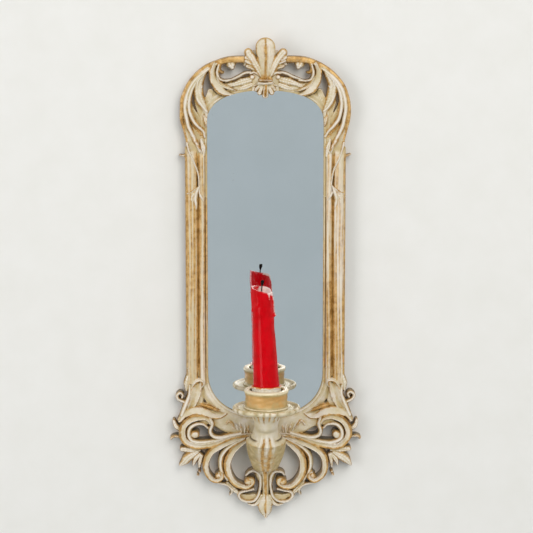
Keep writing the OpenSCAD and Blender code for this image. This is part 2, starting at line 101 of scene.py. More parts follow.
CROWN = [
    ("plain", "", (4, 7, 12, 14, 14), (11, 11.4, 11.6, 11.8, 12),
     ((67.4, -24), (66.6, -40), (62.4, -52), (60, -62), (60, -74))),
    ("plain", "", (5, 9, 10.5, 9.5, 8), (11.4, 11.8, 11.8, 11.6),
     ((44.8, -18.8), (47, -25.6), (49.4, -32), (52, -39.5), (53.2, -50))),
    ("plain", "", (4, 5, 6, 6), (11.6, 11.8, 12), ((59, -26), (56.8, -31.6), (54.4, -36.4), (53.4, -42))),
    ("plain", "", (2.4, 4, 5, 6), (11.6, 11.8, 12), ((64.6, -26), (62.8, -32.4), (60.4, -38), (57.6, -43))),
    ("plain", "", (12, 12.4, 12, 10), (11.4, 11.6, 11.6, 11.4),
     ((11, -13.4), (23, -14.4), (36, -16.4), (43.4, -21.4))),
    ("plain", "", (5, 6, 6, 4), (11.2, 11.4, 11.4, 11), ((47, 3), (57.6, -6.5), (63.4, -16), (65.8, -26))),
    ("flat", "all", (6, 6, 5, 4.4, 3.8, 3.4, 3.2, 3, 2.4, 1.8), (13.5, 14, 14, 13.5, 13, 12.5, 12, 11.5),
     ((14, 9.4), (31, 9.2), (41, 7.0), (51, 2.3), (59.4, -4.6), (66, -13), (70.4, -23), (71.8, -31),
      (71.4, -41), (69.4, -51), (67.8, -59.5), (66.2, -66.5))),
    ("ridge", "edges", (2.5, 4.8, 4.6, 4, 2.4), (15, 16, 16.5, 16, 14),
     ((42, 5.8), (51.4, -0.6), (59.6, -7.6), (65, -16), (67.8, -24.5), (68.4, -32), (67.6, -40),
      (65.4, -48), (62, -55.5), (58.8, -62), (56.4, -69.5))),
    ("ridge", "edges", (2.5, 3.8, 4, 3.6, 2.2), (16, 16.5, 17, 17, 15.5),
     ((57, -6.4), (62.6, -16.2), (65, -25.4), (64.8, -33.6), (62.2, -41.6), (58.4, -47.4), (53.6, -52),
      (51.6, -56.5))),
    ("leaf", "edges", (3.5, 7, 8, 8.6, 8, 6, 3), (14.5, 16, 16, 15.5, 14),
     ((49, 2.2), (54, -4.5), (57.2, -12), (56.8, -20), (54.4, -27.6), (51.6, -34), (50.4, -38.5))),
    ("ridge", "edges", (1.8, 2.6, 1.6), (16.5, 17, 15.5),
     ((53, -4), (57.4, -8.4), (57.8, -12.6), (54.8, -14.4), (54, -12.6))),
    ("ridge", "edges", (2.4, 4.2, 3.4), (15, 17, 15.5),
     ((59.4, -19.3), (57.4, -25), (54, -30.4), (50.2, -34.4))),
    ("plain", "", (5, 6, 5), (12, 12.4, 12), ((46.6, -18), (48.2, -22), (50, -27))),
    ("lumps", "hollows", (4, 5, 4), (12.4, 13, 12.6), ((45, -20.4), (47, -23), (49.6, -26))),
    ("fold", "edges", (3.4, 5, 7.4, 7.4, 3, 1.2), (16.5, 17.4, 18, 18, 17, 15.5),
     ((42.6, 6), (45.2, -0.6), (44.2, -7.6), (40.6, -13.6), (35.6, -17.8), (29.4, -20.2), (23.4, -21.6))),
    ("hollow", "inner", (2, 3.4, 3.4, 1.2), (16.5, 16, 15.5, 14.5),
     ((41.4, -5.5), (39, -10.4), (34.6, -13.4), (29.5, -15.6), (25.6, -17.4))),
    ("ridge", "edges", (2.2, 3, 2.4, 2), (15.5, 16.5, 16, 15.5),
     ((39.6, 5), (41.2, -1.6), (39.4, -6.6), (35.6, -8.8), (29, -8))),
    ("ridge", "edges", (2, 2.8, 2.4, 1.6), (14.5, 16.5, 16.5, 15),
     ((7.6, -3.4), (12.4, -1.4), (18, -2.5), (22.5, -4.9), (28, -7.2), (34, -9.4))),
    ("ball", "edges", (4.6, 4.8), (16.2, 16.2), ((10.6, -5.6), (11, -5.6))),
    ("leaf", "hollows", (6, 7, 4.5), (14.5, 15, 14), ((13, -8), (20, -9.4), (27, -11.8))),
    ("leaf", "hollows", (5, 6, 3), (14, 14.5, 13), ((12, -12), (17.5, -14), (23, -15.8))),
    ("leaf", "hollows", (4, 5, 3), (13.6, 14, 13), ((24, -11), (31, -12.8), (36, -11))),
    ("leaf", "hollows", (9, 8.4, 4.4), (12.6, 13.4, 13), ((29.6, 6.4), (28.8, 4.6), (28.2, 3))),
    ("ridge", "all", (3, 3.6, 2.2), (14.5, 15, 13.5),
     ((38.4, 6.4), (39.6, 1.4), (37.6, -1.8), (35.8, -1.4))),
    ("leaf", "hollows", (7, 6, 2.6), (12.4, 13, 12.5), ((17, 7.4), (16.6, 6), (17.4, 5))),
    ("leaf", "gilt", (3, 5.6, 2.4), (14.5, 15.5, 14.5), ((52.6, -39), (50.8, -42.6), (51, -47))),
    ("lumps", "all", (5, 6.4, 4.6), (12.5, 13, 13), ((62.4, -46.5), (57.4, -50.6), (54, -56))),
    ("ridge", "gilt", (3, 5, 3, 1.4), (14, 15.2, 15, 13.5),
     ((64.6, -53), (60, -60), (56.4, -66.5), (53.4, -73.5))),
    ("leaf", "edges", (2, 5.4, 1.6), (14, 15.6, 14.5), ((55.6, -59), (53.6, -65), (52.8, -72.5))),
    ("ridge", "edges", (2.2, 2, 1.8, 1.6), (15, 16.6, 16.4, 15.6),
     ((67.4, -62), (65.4, -69), (62.4, -76.3), (58.8, -84.4), (57.2, -91.6), (56.6, -100), (56.8, -106.5))),
    ("ridge", "gilt", (2.4, 2, 1.6), (12.5, 12, 11), ((66.6, -71.6), (70, -72.8), (73.2, -72.2))),
]
APRON = [
    ("plain", "", (10, 12, 13, 12), (12, 12.4, 12.4, 12),
     ((61.6, -256), (61.6, -266), (61.4, -276), (60, -286))),
    ("plain", "", (5, 6, 6, 6, 5, 4, 4, 4), (12.4, 12.8, 12.8, 12.8, 12.8, 12.8, 12.4, 12),
     ((50, -306), (57, -304.4), (64, -306.4), (69.4, -312), (69.6, -318.4), (64, -324.6), (54, -325),
      (24, -318))),
    ("plain", "", (8, 10, 9), (11.8, 12, 11.8), ((40, -303), (52, -298), (66, -297))),
    ("leaf", "outer", (2.6, 7.4, 5, 1.2), (13, 15, 14.4, 12.5),
     ((68.6, -277.5), (67.6, -269), (66.4, -263.6), (65.4, -259.4))),
    ("fold", "edges", (3, 4, 3.4, 2.6, 2), (15, 17, 17.4, 16.4, 15),
     ((65.6, -275.5), (62.6, -269.8), (58, -267.6), (54.2, -268.6), (53.6, -272), (55.6, -275.4))),
    ("hollow", "hollows", (8, 10.5, 8.6, 6), (14.5, 15.2, 14.6, 14),
     ((59, -270), (60.6, -278), (62.4, -286), (66.4, -294.5))),
    ("ridge", "edges", (3, 3.6, 4.6, 4), (14.5, 16, 16, 15),
     ((66.6, -272), (66.4, -281), (69.4, -290), (73.4, -299.5))),
    ("ridge", "edges", (3.4, 3, 2.6, 2.4), (13.5, 14.4, 14.6, 14.6),
     ((69, -288.6), (72.4, -287.4), (76.2, -285.4), (77, -281.8), (74.6, -279.6), (72, -281.4),
      (73, -283.8))),
    ("fold", "edges", (4, 6.6, 7.6, 7, 4, 2.4), (14.5, 16.4, 17.4, 17.4, 16, 14.5),
     ((75, -304), (70, -297.8), (60.4, -295), (52.4, -296.4), (45.6, -299.8), (39.6, -300.6),
      (35, -298))),
    ("hollow", "all", (2, 4.4, 4, 2), (13, 14, 13.6, 12.5),
     ((57.6, -289.6), (49.6, -291.6), (43, -294.4), (36, -297.2))),
    ("hollow", "outer", (2.4, 5.8, 6.2, 6, 5.4, 4.4, 3.6), (15.4, 16.8, 17, 17, 17, 16.6, 15),
     ((47.4, -307.4), (51.4, -302.9), (58, -301.2), (65.8, -303.4), (71.2, -308.8), (72.8, -315.4),
      (70.4, -322), (64.2, -326.2), (55.6, -327), (45.6, -324.9), (36.6, -321.7), (26.8, -318.2),
      (13, -317))),
    ("ridge", "edges", (2, 4.2, 4.4, 4, 2.4), (15.6, 16.8, 17.2, 17, 15.6),
     ((50.4, -311), (54.8, -307.6), (61, -307.6), (66, -311.4), (67.2, -317.2), (64.4, -321.6),
      (57.8, -323.6), (49, -323), (38, -320.6))),
    ("ball", "edges", (6.8, 7), (17.2, 17.2), ((61.4, -316.6), (62, -316.8))),
    ("ridge", "edges", (2.6, 4.2, 4.6, 4), (16.4, 17, 16.8, 15.6),
     ((48.2, -302), (46.4, -307.6), (48.6, -312.8), (46.4, -317.4), (40.4, -319.2), (31.8, -318.2),
      (22, -315.8))),
    ("plain", "", (12, 17, 15, 12), (12.6, 13, 13, 12.6),
     ((43, -303.5), (35, -306), (25, -309), (12, -311))),
    ("ridge", "gilt", (3, 3.4, 2.6), (14.6, 15.6, 14.4),
     ((34.6, -307.6), (31.6, -304.8), (29, -307.4), (27, -311.4))),
    ("ridge", "edges", (1.8, 2.6, 1.8), (13.6, 15.2, 14.4), ((28, -305.2), (25.4, -309), (23.6, -313.6))),
    ("ridge", "gilt", (2.2, 3, 1.8), (13.6, 15.2, 14.4), ((22.4, -306.4), (21.4, -310.6), (20.8, -315))),
    ("ridge", "edges", (2, 2.8, 1.8), (13.6, 15.2, 14.4), ((18.4, -307.6), (18, -311.4), (18.2, -315.6))),
    ("ridge", "gilt", (2, 2.6, 1.8), (13.6, 15, 14.4), ((14.6, -308.6), (15, -312), (16, -316))),
    ("leaf", "edges", (4, 4.6, 2.6), (13.5, 14.4, 13), ((73.6, -313), (78.4, -309.6), (80, -304.8))),
    ("ridge", "gilt", (3.4, 2.6, 2), (13, 13.4, 12.6),
     ((73.4, -320), (78.6, -318.8), (82.4, -320.2), (82.6, -321.4))),
    ("leaf", "edges", (3.6, 6.6, 5), (13.5, 14.8, 13.6), ((58, -331), (66, -330.6), (73, -330.6))),
    ("leaf", "edges", (3.6, 7.6, 7.4, 2), (14, 15.4, 15, 13),
     ((59.6, -333), (66.6, -337), (71.4, -341), (75, -345.4))),
    ("leaf", "edges", (4, 5, 2), (14, 14.6, 13), ((57.6, -334.6), (61.4, -339), (63.4, -344.8))),
    ("leaf", "edges", (4, 4.2, 2), (14, 14.4, 13), ((56, -336), (57.4, -341), (58.2, -346.6))),
    ("ball", "gilt", (2.6, 2.6), (13.5, 13.5), ((57.6, -350.2), (57.9, -350.5))),
    ("ball", "gilt", (2.2, 2.2), (13, 13), ((59, -353.6), (59.2, -353.8))),
    ("hollow", "outer", (3, 5.4, 6.2, 6.2, 5.4, 4.4, 3.6), (15, 16.6, 17, 17, 17, 16.8, 16.4),
     ((17, -318), (31, -322.8), (40.6, -327.6), (47.4, -332), (51.2, -338), (52.4, -344.6),
      (51.2, -351), (47.8, -356), (43, -358.2), (39, -356.6), (37.8, -353.2), (40, -350.8))),
    ("ball", "gilt", (5.2, 5.4), (17.4, 17.4), ((41, -353.2), (41.6, -353.4))),
    ("ridge", "inner", (3, 4.8, 5.2, 3.6), (15.4, 16.4, 16.6, 15),
     ((18, -320.5), (31, -327.4), (37.8, -334.6), (39.4, -342.6), (38, -350), (33, -357.6))),
    ("hollow", "outer", (3, 6, 6.6, 6.4, 5.4, 4, 3.4), (15.4, 17, 17.4, 17.4, 17, 16.6, 16.2),
     ((15, -321), (26, -328.6), (31.4, -335.8), (33.2, -343.8), (31.8, -352.4), (27.6, -359.4),
      (21.6, -363.2), (15.8, -363.8), (11.4, -361), (11.6, -357), (15.2, -356.4))),
    ("ball", "gilt", (6.2, 6.4), (17.2, 17.2), ((14.6, -359.4), (15.2, -359.4))),
    ("ridge", "edges", (2, 3.2, 3.4, 2.6), (14.5, 15.6, 15.4, 14.5),
     ((16.6, -353.6), (13.6, -350.6), (8.4, -350.4), (5.2, -354.6), (4.4, -361.6), (5.2, -368.6))),
    ("ridge", "edges", (3, 2.8, 2.8, 2.6), (14.5, 15, 15, 14.6),
     ((4.6, -366), (6.6, -372.4), (10.4, -376.6), (16, -377.8), (21.4, -375.8), (23.6, -372.2),
      (21.8, -368.8), (16.6, -367.6), (10.4, -366.2))),
    ("plain", "", (4, 5, 3), (11.2, 11.2, 11.2), ((9.4, -372.6), (15, -374), (20.4, -372.4))),
    ("ridge", "edges", (2.6, 2.4, 1.7), (13.4, 13.8, 12.4),
     ((46.6, -358.6), (40.4, -361), (34.4, -362.6), (30.2, -366), (29.4, -369.8), (31.4, -372))),
    ("leaf", "hollows", (4.4, 6.4, 3.4), (12.6, 13, 12.4), ((33, -360.6), (27.4, -366.6), (23.4, -371))),
    ("leaf", "edges", (5.2, 4, 2), (13, 13.4, 12.4), ((3.4, -373), (7.6, -379), (11.4, -381), (15, -380))),
    ("ridge", "", (5, 5, 4), (12.5, 13.5, 13.5), ((8.6, -346), (7, -352), (4, -360))),
]
APRON_MIDDLE = [
    ("plain", "", (22, 20, 14), (13, 13, 13), ((0, -308), (0, -330), (0, -348))),
    ("ridge", "ridge", (10, 7, 6, 5), (14, 15.4, 15.4, 14), ((0, -342), (0, -354), (0, -366), (0, -376))),
    ("leaf", "groove", (6, 11, 12.6, 10.4, 3), (14, 15.4, 15.6, 15, 13),
     ((0, -371), (0, -377), (0, -382), (0, -387.4), (0, -392.4))),
]
CREST = [
    ("leaf", "edges", (4, 6, 6.6, 7, 7.4, 7.2), (18.5, 19.8, 20.4, 20.2, 19.6, 18.8),
     ((3.2, -5), (6, 1), (8.8, 6.4), (11.6, 11), (13.8, 14), (15, 15.6))),
    ("leaf", "hollows", (3, 4.8, 4.2), (17.6, 18.6, 17.4), ((9.4, 7.4), (13.2, 10), (16.4, 11))),
    ("leaf", "hollows", (3, 4.6, 4), (17.6, 18.4, 17), ((7.4, 4.6), (12.4, 7.0), (16.4, 8.2))),
    ("leaf", "hollows", (3, 5, 4), (16.8, 17.4, 16), ((4.6, -1), (10, 2.4), (15, 3.8))),
    ("ridge", "edges", (2.4, 3.4, 2.4), (17, 18, 16.4), ((4, -5), (8.6, -1.6), (13, -2.4))),
    ("leaf", "edges", (3.2, 4.2, 4.4), (18, 19.2, 18.2), ((2.2, -11.6), (3.8, -15.4), (5, -18.8))),
    ("leaf", "edges", (3, 3.8, 3.6), (17.8, 18.4, 17), ((3.6, -11.4), (6, -13.8), (7.8, -16.2))),
    ("ridge", "hollows", (2.6, 3.2, 2.4), (17, 17.4, 16), ((4, -10.4), (7.2, -11.8), (9.8, -13))),
]
CREST_MIDDLE = [
    ("bud", "bud", (8.6, 8.6, 9.2, 10.2, 11.8, 13.6, 15.2, 16.4, 16.8),
     (19.5, 20.4, 21, 21.6, 22.2, 22.6, 22.8, 22.6),
     ((0, -8), (0, 2), (0, 11), (0, 20))),
    ("ridge", "all", (1.6, 2.2, 2.6, 2.2), (21.2, 22.6, 23.4, 22.6), ((0, -7), (0, 6), (0, 17), (0, 26.6))),
    ("ridge", "gilt", (2.6, 2.6), (22.6, 22.6), ((-5.2, -7.9), (0, -8.3), (5.2, -7.9))),
    ("ridge", "", (2.6, 2.6), (22, 22), ((-5.2, -10.2), (0, -10.6), (5.2, -10.2))),
    ("leaf", "ridge", (4.6, 5, 5.4), (19.4, 20.2, 18.8), ((0, -11), (0, -16), (0, -20.8))),
]
HUSK = [
    ("ridge", "edges", (2, 4, 5, 4, 1.4), (16.4, 17, 16.6, 16, 15.2),
     ((57, -98), (59, -103), (60.6, -109), (60, -115), (59.6, -119))),
    ("fold", "edges", (2.4, 4.6, 3), (15.8, 16.6, 15.4), ((58.6, -100.4), (62.4, -104.4), (66.6, -105.4))),
    ("leaf", "hollows", (3, 7, 5), (15.4, 16, 15.2), ((59.6, -103), (62.6, -108.6), (63.6, -112.6))),
    ("ridge", "edges", (2, 3.4, 1.6), (15.4, 16.2, 15.2), ((57.6, -104), (55.4, -108.4), (53.4, -111.4))),
]


# ---------------------------------------------------------------- relief on a fine grid

def smooth_step(value, low, high):
    t = np.clip((value - low) / (high - low), 0, 1)
    return t * t * (3 - 2 * t)


def bell(distance, width):
    """1 at no distance, falling away smoothly on both sides."""
    return np.exp(-(distance / width) ** 2)


def curve(points, spacing=0.25):
    """A smooth line through the points, as close samples with their share of its length."""
    p = np.array(points, float)
    p = np.vstack([2 * p[0] - p[1], p, 2 * p[-1] - p[-2]])
    samples = []
    for a, b, c, d in zip(p[:-3], p[1:-2], p[2:-1], p[3:]):
        steps = max(2, int(np.linalg.norm(c - b) / spacing))
        t = np.linspace(0, 1, steps, endpoint=False)[:, None]
        samples.append(0.5 * (2 * b + (c - a) * t + (2 * a - 5 * b + 4 * c - d) * t ** 2
                              + (3 * b - a - 3 * c + d) * t ** 3))
    line = np.vstack(samples + [p[-2:-1]])
    length = np.concatenate([[0], np.cumsum(np.linalg.norm(np.diff(line, axis=0), axis=1))])
    return line, length


def spread(values, share):
    return np.interp(share, np.linspace(0, 1, len(values)), values)


def section(kind, u, along):
    """How far the surface lies below the stroke's height at u, from -1 to 1 across it."""
    a = np.abs(u)
    if kind == "flat":
        return 0.5 * a ** 2 + 3 * smooth_step(a, 0.7, 1.05)
    if kind == "hollow":
        return np.where(a < 0.74, 1.7 * (1 - (a / 0.74) ** 2), 4 * (np.clip(a - 0.74, 0, 1) / 0.26) ** 2)
    if kind == "leaf":
        veins = 0.3 * np.sin(along * 2.6 - a * 4) * a * smooth_step(1 - a, 0, 0.3)
        return 3.4 * a ** 2.4 + 0.9 * bell(u, 0.15) + veins
    if kind == "fold":
        return 4.2 * np.clip((1 - u) / 2, 0, 1) ** 1.3 + 1.6 * smooth_step(a, 0.75, 1.0)
    if kind == "ball":
        return 4 * (1 - np.sqrt(np.clip(1 - a ** 2, 0, 1)))
    if kind == "lumps":
        return 2.6 * a ** 2 + 0.9 * (1 - np.abs(np.sin(along * 1.3))) + 0.4 * np.cos(along * 3 + u * 4)
    if kind == "bud":
        return 3.4 * a ** 2.6 + 0.9 * bell(a - 0.26, 0.09) + 0.5 * bell(a - 0.55, 0.12)
    if kind == "plain":
        return 1.2 * smooth_step(a, 0.8, 1.0)
    return 3.6 * a ** 1.7


def gilding(where, u, along):
    """How much gold a stroke carries at u across it."""
    a = np.abs(u)
    return {
        "all": 0.85 + 0 * u,
        "gilt": 0.45 + 0.4 * smooth_step(a, 0.3, 0.8),
        "edges": 0.85 * smooth_step(a, 0.42, 0.9),
        "outer": 0.95 * smooth_step(u, 0, 0.7) + 0.6 * smooth_step(-u, 0.65, 0.9),
        "inner": 0.95 * smooth_step(-u, 0, 0.6) + 0.6 * smooth_step(u, 0.65, 0.9),
        "hollows": 0.45 * smooth_step(a, 0.45, 0.9) + 0.25 * bell(u, 0.2),
        "ridge": 0.9 * smooth_step(1 - a, 0.45, 0.7) + 0.5 * smooth_step(a, 0.85, 1),
        "groove": 0.8 * bell(u, 0.16) + 0.6 * smooth_step(a, 0.8, 1),
        "bud": 0.7 * smooth_step(a, 0.84, 0.98) + bell(a, 0.13) + 0.6 * smooth_step(9 - along, 0, 8),
    }.get(where, 0 * u)


def blur(values, mask, radius):
    """The mean height round each point, over the carved points only."""
    fx = np.fft.fftfreq(values.shape[0], CELL)[:, None]
    fz = np.fft.rfftfreq(values.shape[1], CELL)[None]
    kernel = np.exp(-2 * (np.pi * radius) ** 2 * (fx ** 2 + fz ** 2))

    def soften(a):
        return np.fft.irfft2(np.fft.rfft2(a) * kernel, a.shape)
    return soften(values * mask) / np.maximum(soften(mask.astype(float)), 1e-3)


def opening_distance(x, z):
    """Distance outside the mirror's opening, whose ends are fuller than ellipses."""
    rise = np.where(z > ARCH_Z, SIGHT_TOP - ARCH_Z, FOOT_Z - SIGHT_BOTTOM)
    across = np.abs(x) / STILE_IN
    up = np.maximum(np.maximum(z - ARCH_Z, FOOT_Z - z), 0) / rise
    level = np.maximum(across ** FULLNESS + up ** FULLNESS, 1e-6) ** (1 / FULLNESS)
    slope = np.hypot((across / level) ** (FULLNESS - 1) / STILE_IN, (up / level) ** (FULLNESS - 1) / rise)
    return (level - 1) / np.maximum(slope, 1e-4)


def rail_height(x, z):
    """Across a stile from the mirror: lip, reed, narrow groove and a broad rounded outer band."""
    t = np.abs(x) - STILE_IN
    lip = 12.2 - 0.5 * ((t - 0.9) / 0.9) ** 2
    reed = 14.3 - 1.3 * (np.abs(t - 4.7) / 2.5) ** 2.4
    away, towards = np.clip((t - 13.4) / 5.6, 0, 1.05), np.clip((12.4 - t) / 3.4, 0, 1.2)
    outer = 15 - 3.6 * away ** 2.6 - 1.1 * towards ** 2.2
    streaks = 0.16 * np.sin(t * 4.6 + 0.5 * np.sin(z * 0.05)) * smooth_step(t, 9.5, 11)
    h = np.where(t < 2.1, lip, np.where(t < 7.3, reed, outer + streaks))
    h = h - 1.6 * bell(t - 8.1, 0.8) - 0.6 * bell(t - 2.1, 0.4)
    return np.maximum(h + 0.1 * np.sin(z * 0.31 + x) + 0.06 * np.sin(z * 0.83), 9.6)


def rail_gold(x, z):
    """Gold in the rail's grooves, in one streak and along its outer edge, over a thin wash."""
    t = np.abs(x) - STILE_IN
    patches = 0.75 + 0.25 * np.sin(z * 0.025 + np.sign(x))
    streak = 0.45 * bell(t - 11.3 - 0.4 * np.sin(z * 0.02), 0.6) * patches
    groove = 1.1 * bell(t - 8.2, 1.1) * (0.6 + 0.4 * patches)
    wash = (0.52 + 0.22 * np.sin(t * 2.3 + 1.5 * np.sin(z * 0.03))) * patches
    return wash + groove + streak + 0.5 * bell(t - 2.1, 0.5) + 0.5 * smooth_step(t, 16, 18.4)


def band_height(d):
    """The plain moulding round the mirror, by distance from the opening."""
    return np.interp(d, (0, 0.4, 1.4, 2.1, 3, 4.6, 6, 9), (10.6, 11.6, 12.2, 11.5, 11.9, 12.6, 11.6, 10.8))


class Relief:
    """A carved piece: for each grid point its height, its distance inside the outline and its gold."""

    def __init__(self, x0, x1, z0, z1, seed=1):
        self.xs = np.linspace(x0, x1, round((x1 - x0) / CELL) + 1)
        self.zs = np.linspace(z0, z1, round((z1 - z0) / CELL) + 1)
        self.x, self.z = np.meshgrid(self.xs, self.zs, indexing="ij")
        self.h = np.zeros_like(self.x)
        self.inside = np.full_like(self.x, -99.0)
        self.gold = np.zeros_like(self.x)
        self.grain = np.zeros_like(self.x)
        self.rng = np.random.default_rng(seed)

    def area(self, inside, height, gold, grain=0):
        """Adds a region by its distance inside its own edge; grain 1 brushes its paint upright."""
        here = (inside > -EDGE_REACH) & (height > self.h)
        self.grain[here] = grain
        self.h[here] = height[here]
        self.gold[here] = gold[here]
        self.inside = np.maximum(self.inside, inside)

    def stroke(self, kind, where, widths, tops, points, side=1):
        jitter = self.rng.normal(0, HAND, (len(points), 2))
        line, length = curve(np.array(points) * (side, 1) + jitter)
        half = spread(widths, length / length[-1]) / 2
        reach = half.max() + 2 * CELL
        ix = np.searchsorted(self.xs, (line[:, 0].min() - reach, line[:, 0].max() + reach))
        iz = np.searchsorted(self.zs, (line[:, 1].min() - reach, line[:, 1].max() + reach))
        part = np.s_[ix[0]:ix[1], iz[0]:iz[1]]
        x, z = self.x[part], self.z[part]
        if x.size == 0:
            return
        away = (x[..., None] - line[:, 0]) ** 2 + (z[..., None] - line[:, 1]) ** 2
        near = np.argmin(away, axis=-1)
        distance = np.sqrt(np.take_along_axis(away, near[..., None], -1)[..., 0])
        step = np.gradient(line, axis=0)[near]
        cross = step[..., 0] * (z - line[near, 1]) - step[..., 1] * (x - line[near, 0])
        # u is positive on the outer side of a stroke drawn from the crest or bracket outwards
        u = np.sign(cross) * side * distance / half[near]
        u = np.clip(u, -1.05, 1.05)
        inside = half[near] - distance
        height = spread(tops, length[near] / length[-1]) - section(kind, u, length[near])
        gold = gilding(where, u, length[near])
        better = (inside > -EDGE_REACH) & (height > self.h[part])
        self.h[part] = np.where(better, height, self.h[part])
        self.gold[part] = np.where(better, gold, self.gold[part])
        self.grain[part] = np.where(better, 0, self.grain[part])
        self.inside[part] = np.maximum(self.inside[part], inside)

    def strokes(self, sides, middle=()):
        for side in (-1, 1):
            for s in sides:
                self.stroke(*s, side=side)
        for s in middle:
            self.stroke(*s)

    @staticmethod
    def even(values, outline, passes):
        """Takes the grid's steps out of the outline: its values go towards their neighbours' mean."""
        columns = np.stack(values, 1)
        ends, count = outline.T, len(columns)
        single = np.bincount(outline.ravel(), minlength=count) == 2
        for _ in range(passes):
            total = np.zeros_like(columns)
            for a, b in (ends, ends[::-1]):
                for k in range(columns.shape[1]):
                    total[:, k] += np.bincount(a, columns[b, k], count)
            columns = np.where(single[:, None], (columns + total / 2) / 2, columns)
        return columns.T

    def build(self, name, material, back, nodes, slot):
        """Meshes the relief as one closed solid whose back face lies at the depth back."""
        cells = (self.inside[:-1, :-1] + self.inside[1:, :-1] + self.inside[:-1, 1:]
                 + self.inside[1:, 1:]) / 4 > 0
        used = np.zeros_like(self.x, bool)
        for di in (0, 1):
            for dj in (0, 1):
                used[di:used.shape[0] - 1 + di, dj:used.shape[1] - 1 + dj] |= cells
        mask = (self.inside > -CELL) & (self.h > 0)
        h = np.where(self.h > 0, self.h, blur(self.h, mask, 1.0))
        # Outline points slide on to the outline
        gx, gz = np.gradient(self.inside, CELL)
        size = np.maximum(gx ** 2 + gz ** 2, 0.2)
        full = np.zeros_like(used)
        full[1:-1, 1:-1] = cells[:-1, :-1] & cells[1:, :-1] & cells[:-1, 1:] & cells[1:, 1:]
        rim_point = used & ~full
        slide = np.where(rim_point, np.clip(self.inside, -0.6, 0.6), 0)
        x, z = self.x - slide * gx / size, self.z - slide * gz / size
        soft, broad = blur(h, mask, 1.4), blur(h, mask, 3.4)
        fine = blur(h, mask, 0.6)
        index = np.full(used.shape, -1)
        index[used] = np.arange(used.sum())
        count = int(used.sum())
        deep = np.broadcast_to(back, used.shape)
        i, j = np.nonzero(cells)
        quad = np.stack([index[i, j], index[i + 1, j], index[i + 1, j + 1], index[i, j + 1]], 1)
        faces, outline = [quad, quad[:, ::-1] + count], []
        for axis in (0, 1):
            padded = np.pad(cells, [(1, 1) if a == axis else (0, 0) for a in (0, 1)])
            change = np.diff(padded.astype(int), axis=axis)
            for sign in (1, -1):
                a, b = np.nonzero(change == sign)
                p, q = (index[a, b], index[a, b + 1]) if axis == 0 else (index[a + 1, b], index[a, b])
                if sign == -1:
                    p, q = q, p
                faces.append(np.stack([p, q, q + count, p + count], 1))
                outline.append(np.stack([p, q], 1))
        # Painted light and shade for the paint: cavity darkens the hollows, partly as glaze and partly as
        # painted shade; crest is a painted highlight on the ridges; low carries the ochre wash of the broad
        # hollows, which also stands in for their shade.
        cavity = smooth_step(soft - h, 0.25, 1.7)
        crest = smooth_step(h - fine, 0.06, 0.35)
        low = smooth_step(broad - h, -0.9, 1.9)
        outline = np.vstack(outline)
        x, z, h = self.even([a[used] for a in (x, z, h)], outline, OUTLINE_PASSES)
        looks = self.even([a[used] for a in (cavity, crest, low, self.gold)], outline, COLOUR_PASSES)
        front = np.stack([x, -h, z], 1)
        rear = np.stack([x, -np.minimum(deep[used], h - THINNEST), z], 1)
        points, faces = np.vstack([front, rear]), np.vstack(faces).tolist()
        ob = mesh_object(name, points, faces, material, nodes, slot)
        # The back points get full cavity and low, so the walls of the piercings darken towards the back as
        # painted shade.
        for key, value, behind in zip(("cavity", "crest", "low", "gild"), looks, (1, 0, 1, 0)):
            put(ob, key, np.concatenate([value, np.full(count, behind)]))
        put(ob, "grain", np.concatenate([self.grain[used], self.grain[used]]))
        put(ob, "bare", np.repeat([0, 1], count))


# ---------------------------------------------------------------- mesh helpers

def mesh_object(name, points_mm, faces, material, nodes, slot, body=ROOT):
    mesh = bpy.data.meshes.new(name)
    mesh.from_pydata((np.asarray(points_mm) * MM).tolist(), [], faces)
    mesh.validate()
    mesh.update()
    mesh.shade_smooth()
    mesh.set_sharp_from_angle(angle=math.radians(SHARP_EDGE))
    mesh.materials.append(material)
    ob = bpy.data.objects.new(name, mesh)
    bpy.context.scene.collection.objects.link(ob)
    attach(ob, body)
    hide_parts(*nodes)
    return ob


def put(ob, name, values):
    """Stores one number per point for the materials."""
    layer = ob.data.attributes.new(name, "FLOAT", "POINT")
    layer.data.foreach_set("value", np.clip(values, 0, 1).astype(np.float32))


def paint(ob, shape, ends=(0, 0), **values):
    """Stores numbers given per ring point, with one more for each end point."""
    for name, value in values.items():
        put(ob, name, np.append((value + 0 * shape).ravel(), ends))


def tube_faces(rings, sides):
    """Quads over rings of points, closed round, with a fan at each end."""
    i, j = np.meshgrid(np.arange(rings - 1), np.arange(sides), indexing="ij")
    a, b = i * sides + j, i * sides + (j + 1) % sides
    faces = np.stack([a, b, b + sides, a + sides], -1).reshape(-1, 4).tolist()
    low, high = rings * sides, rings * sides + 1
    for j in range(sides):
        k = (j + 1) % sides
        faces.append([low, k, j])
        faces.append([high, (rings - 1) * sides + j, (rings - 1) * sides + k])
    return faces


def loft(name, rings, ends, material, nodes, slot, **options):
    """A closed skin over rings of points in mm, shaped (ring, point, xyz), with a point at each end."""
    rings = np.asarray(rings, float)
    points = np.vstack([rings.reshape(-1, 3), ends])
    return mesh_object(name, points, tube_faces(*rings.shape[:2]), material, nodes, slot, **options)


def turned(radius, height, angle, centre=0.0):
    """Rings about the candle's axis; angle 0 faces the room and a quarter turn faces right."""
    return np.stack([centre + radius * np.sin(angle), AXIS_Y - radius * np.cos(angle),
                     height + 0 * angle], -1)


def lathe(name, profile, seat, shape, material, slot, sides=180):
    """Turns (radius, height) points about the candle's axis; shape then works the edge by angle."""
    p = refine(profile)
    angle = np.linspace(0, 2 * np.pi, sides, endpoint=False)[None]
    radius, height = np.repeat(p[:, :1], sides, 1), np.repeat(p[:, 1:], sides, 1)
    radius, height = shape(radius, height, angle)
    rings = turned(radius, seat + height, angle)
    ends = [(0, AXIS_Y, seat + p[0, 1]), (0, AXIS_Y, seat + p[-1, 1])]
    return loft(name, rings, ends, material, (name,), slot), radius, height, angle


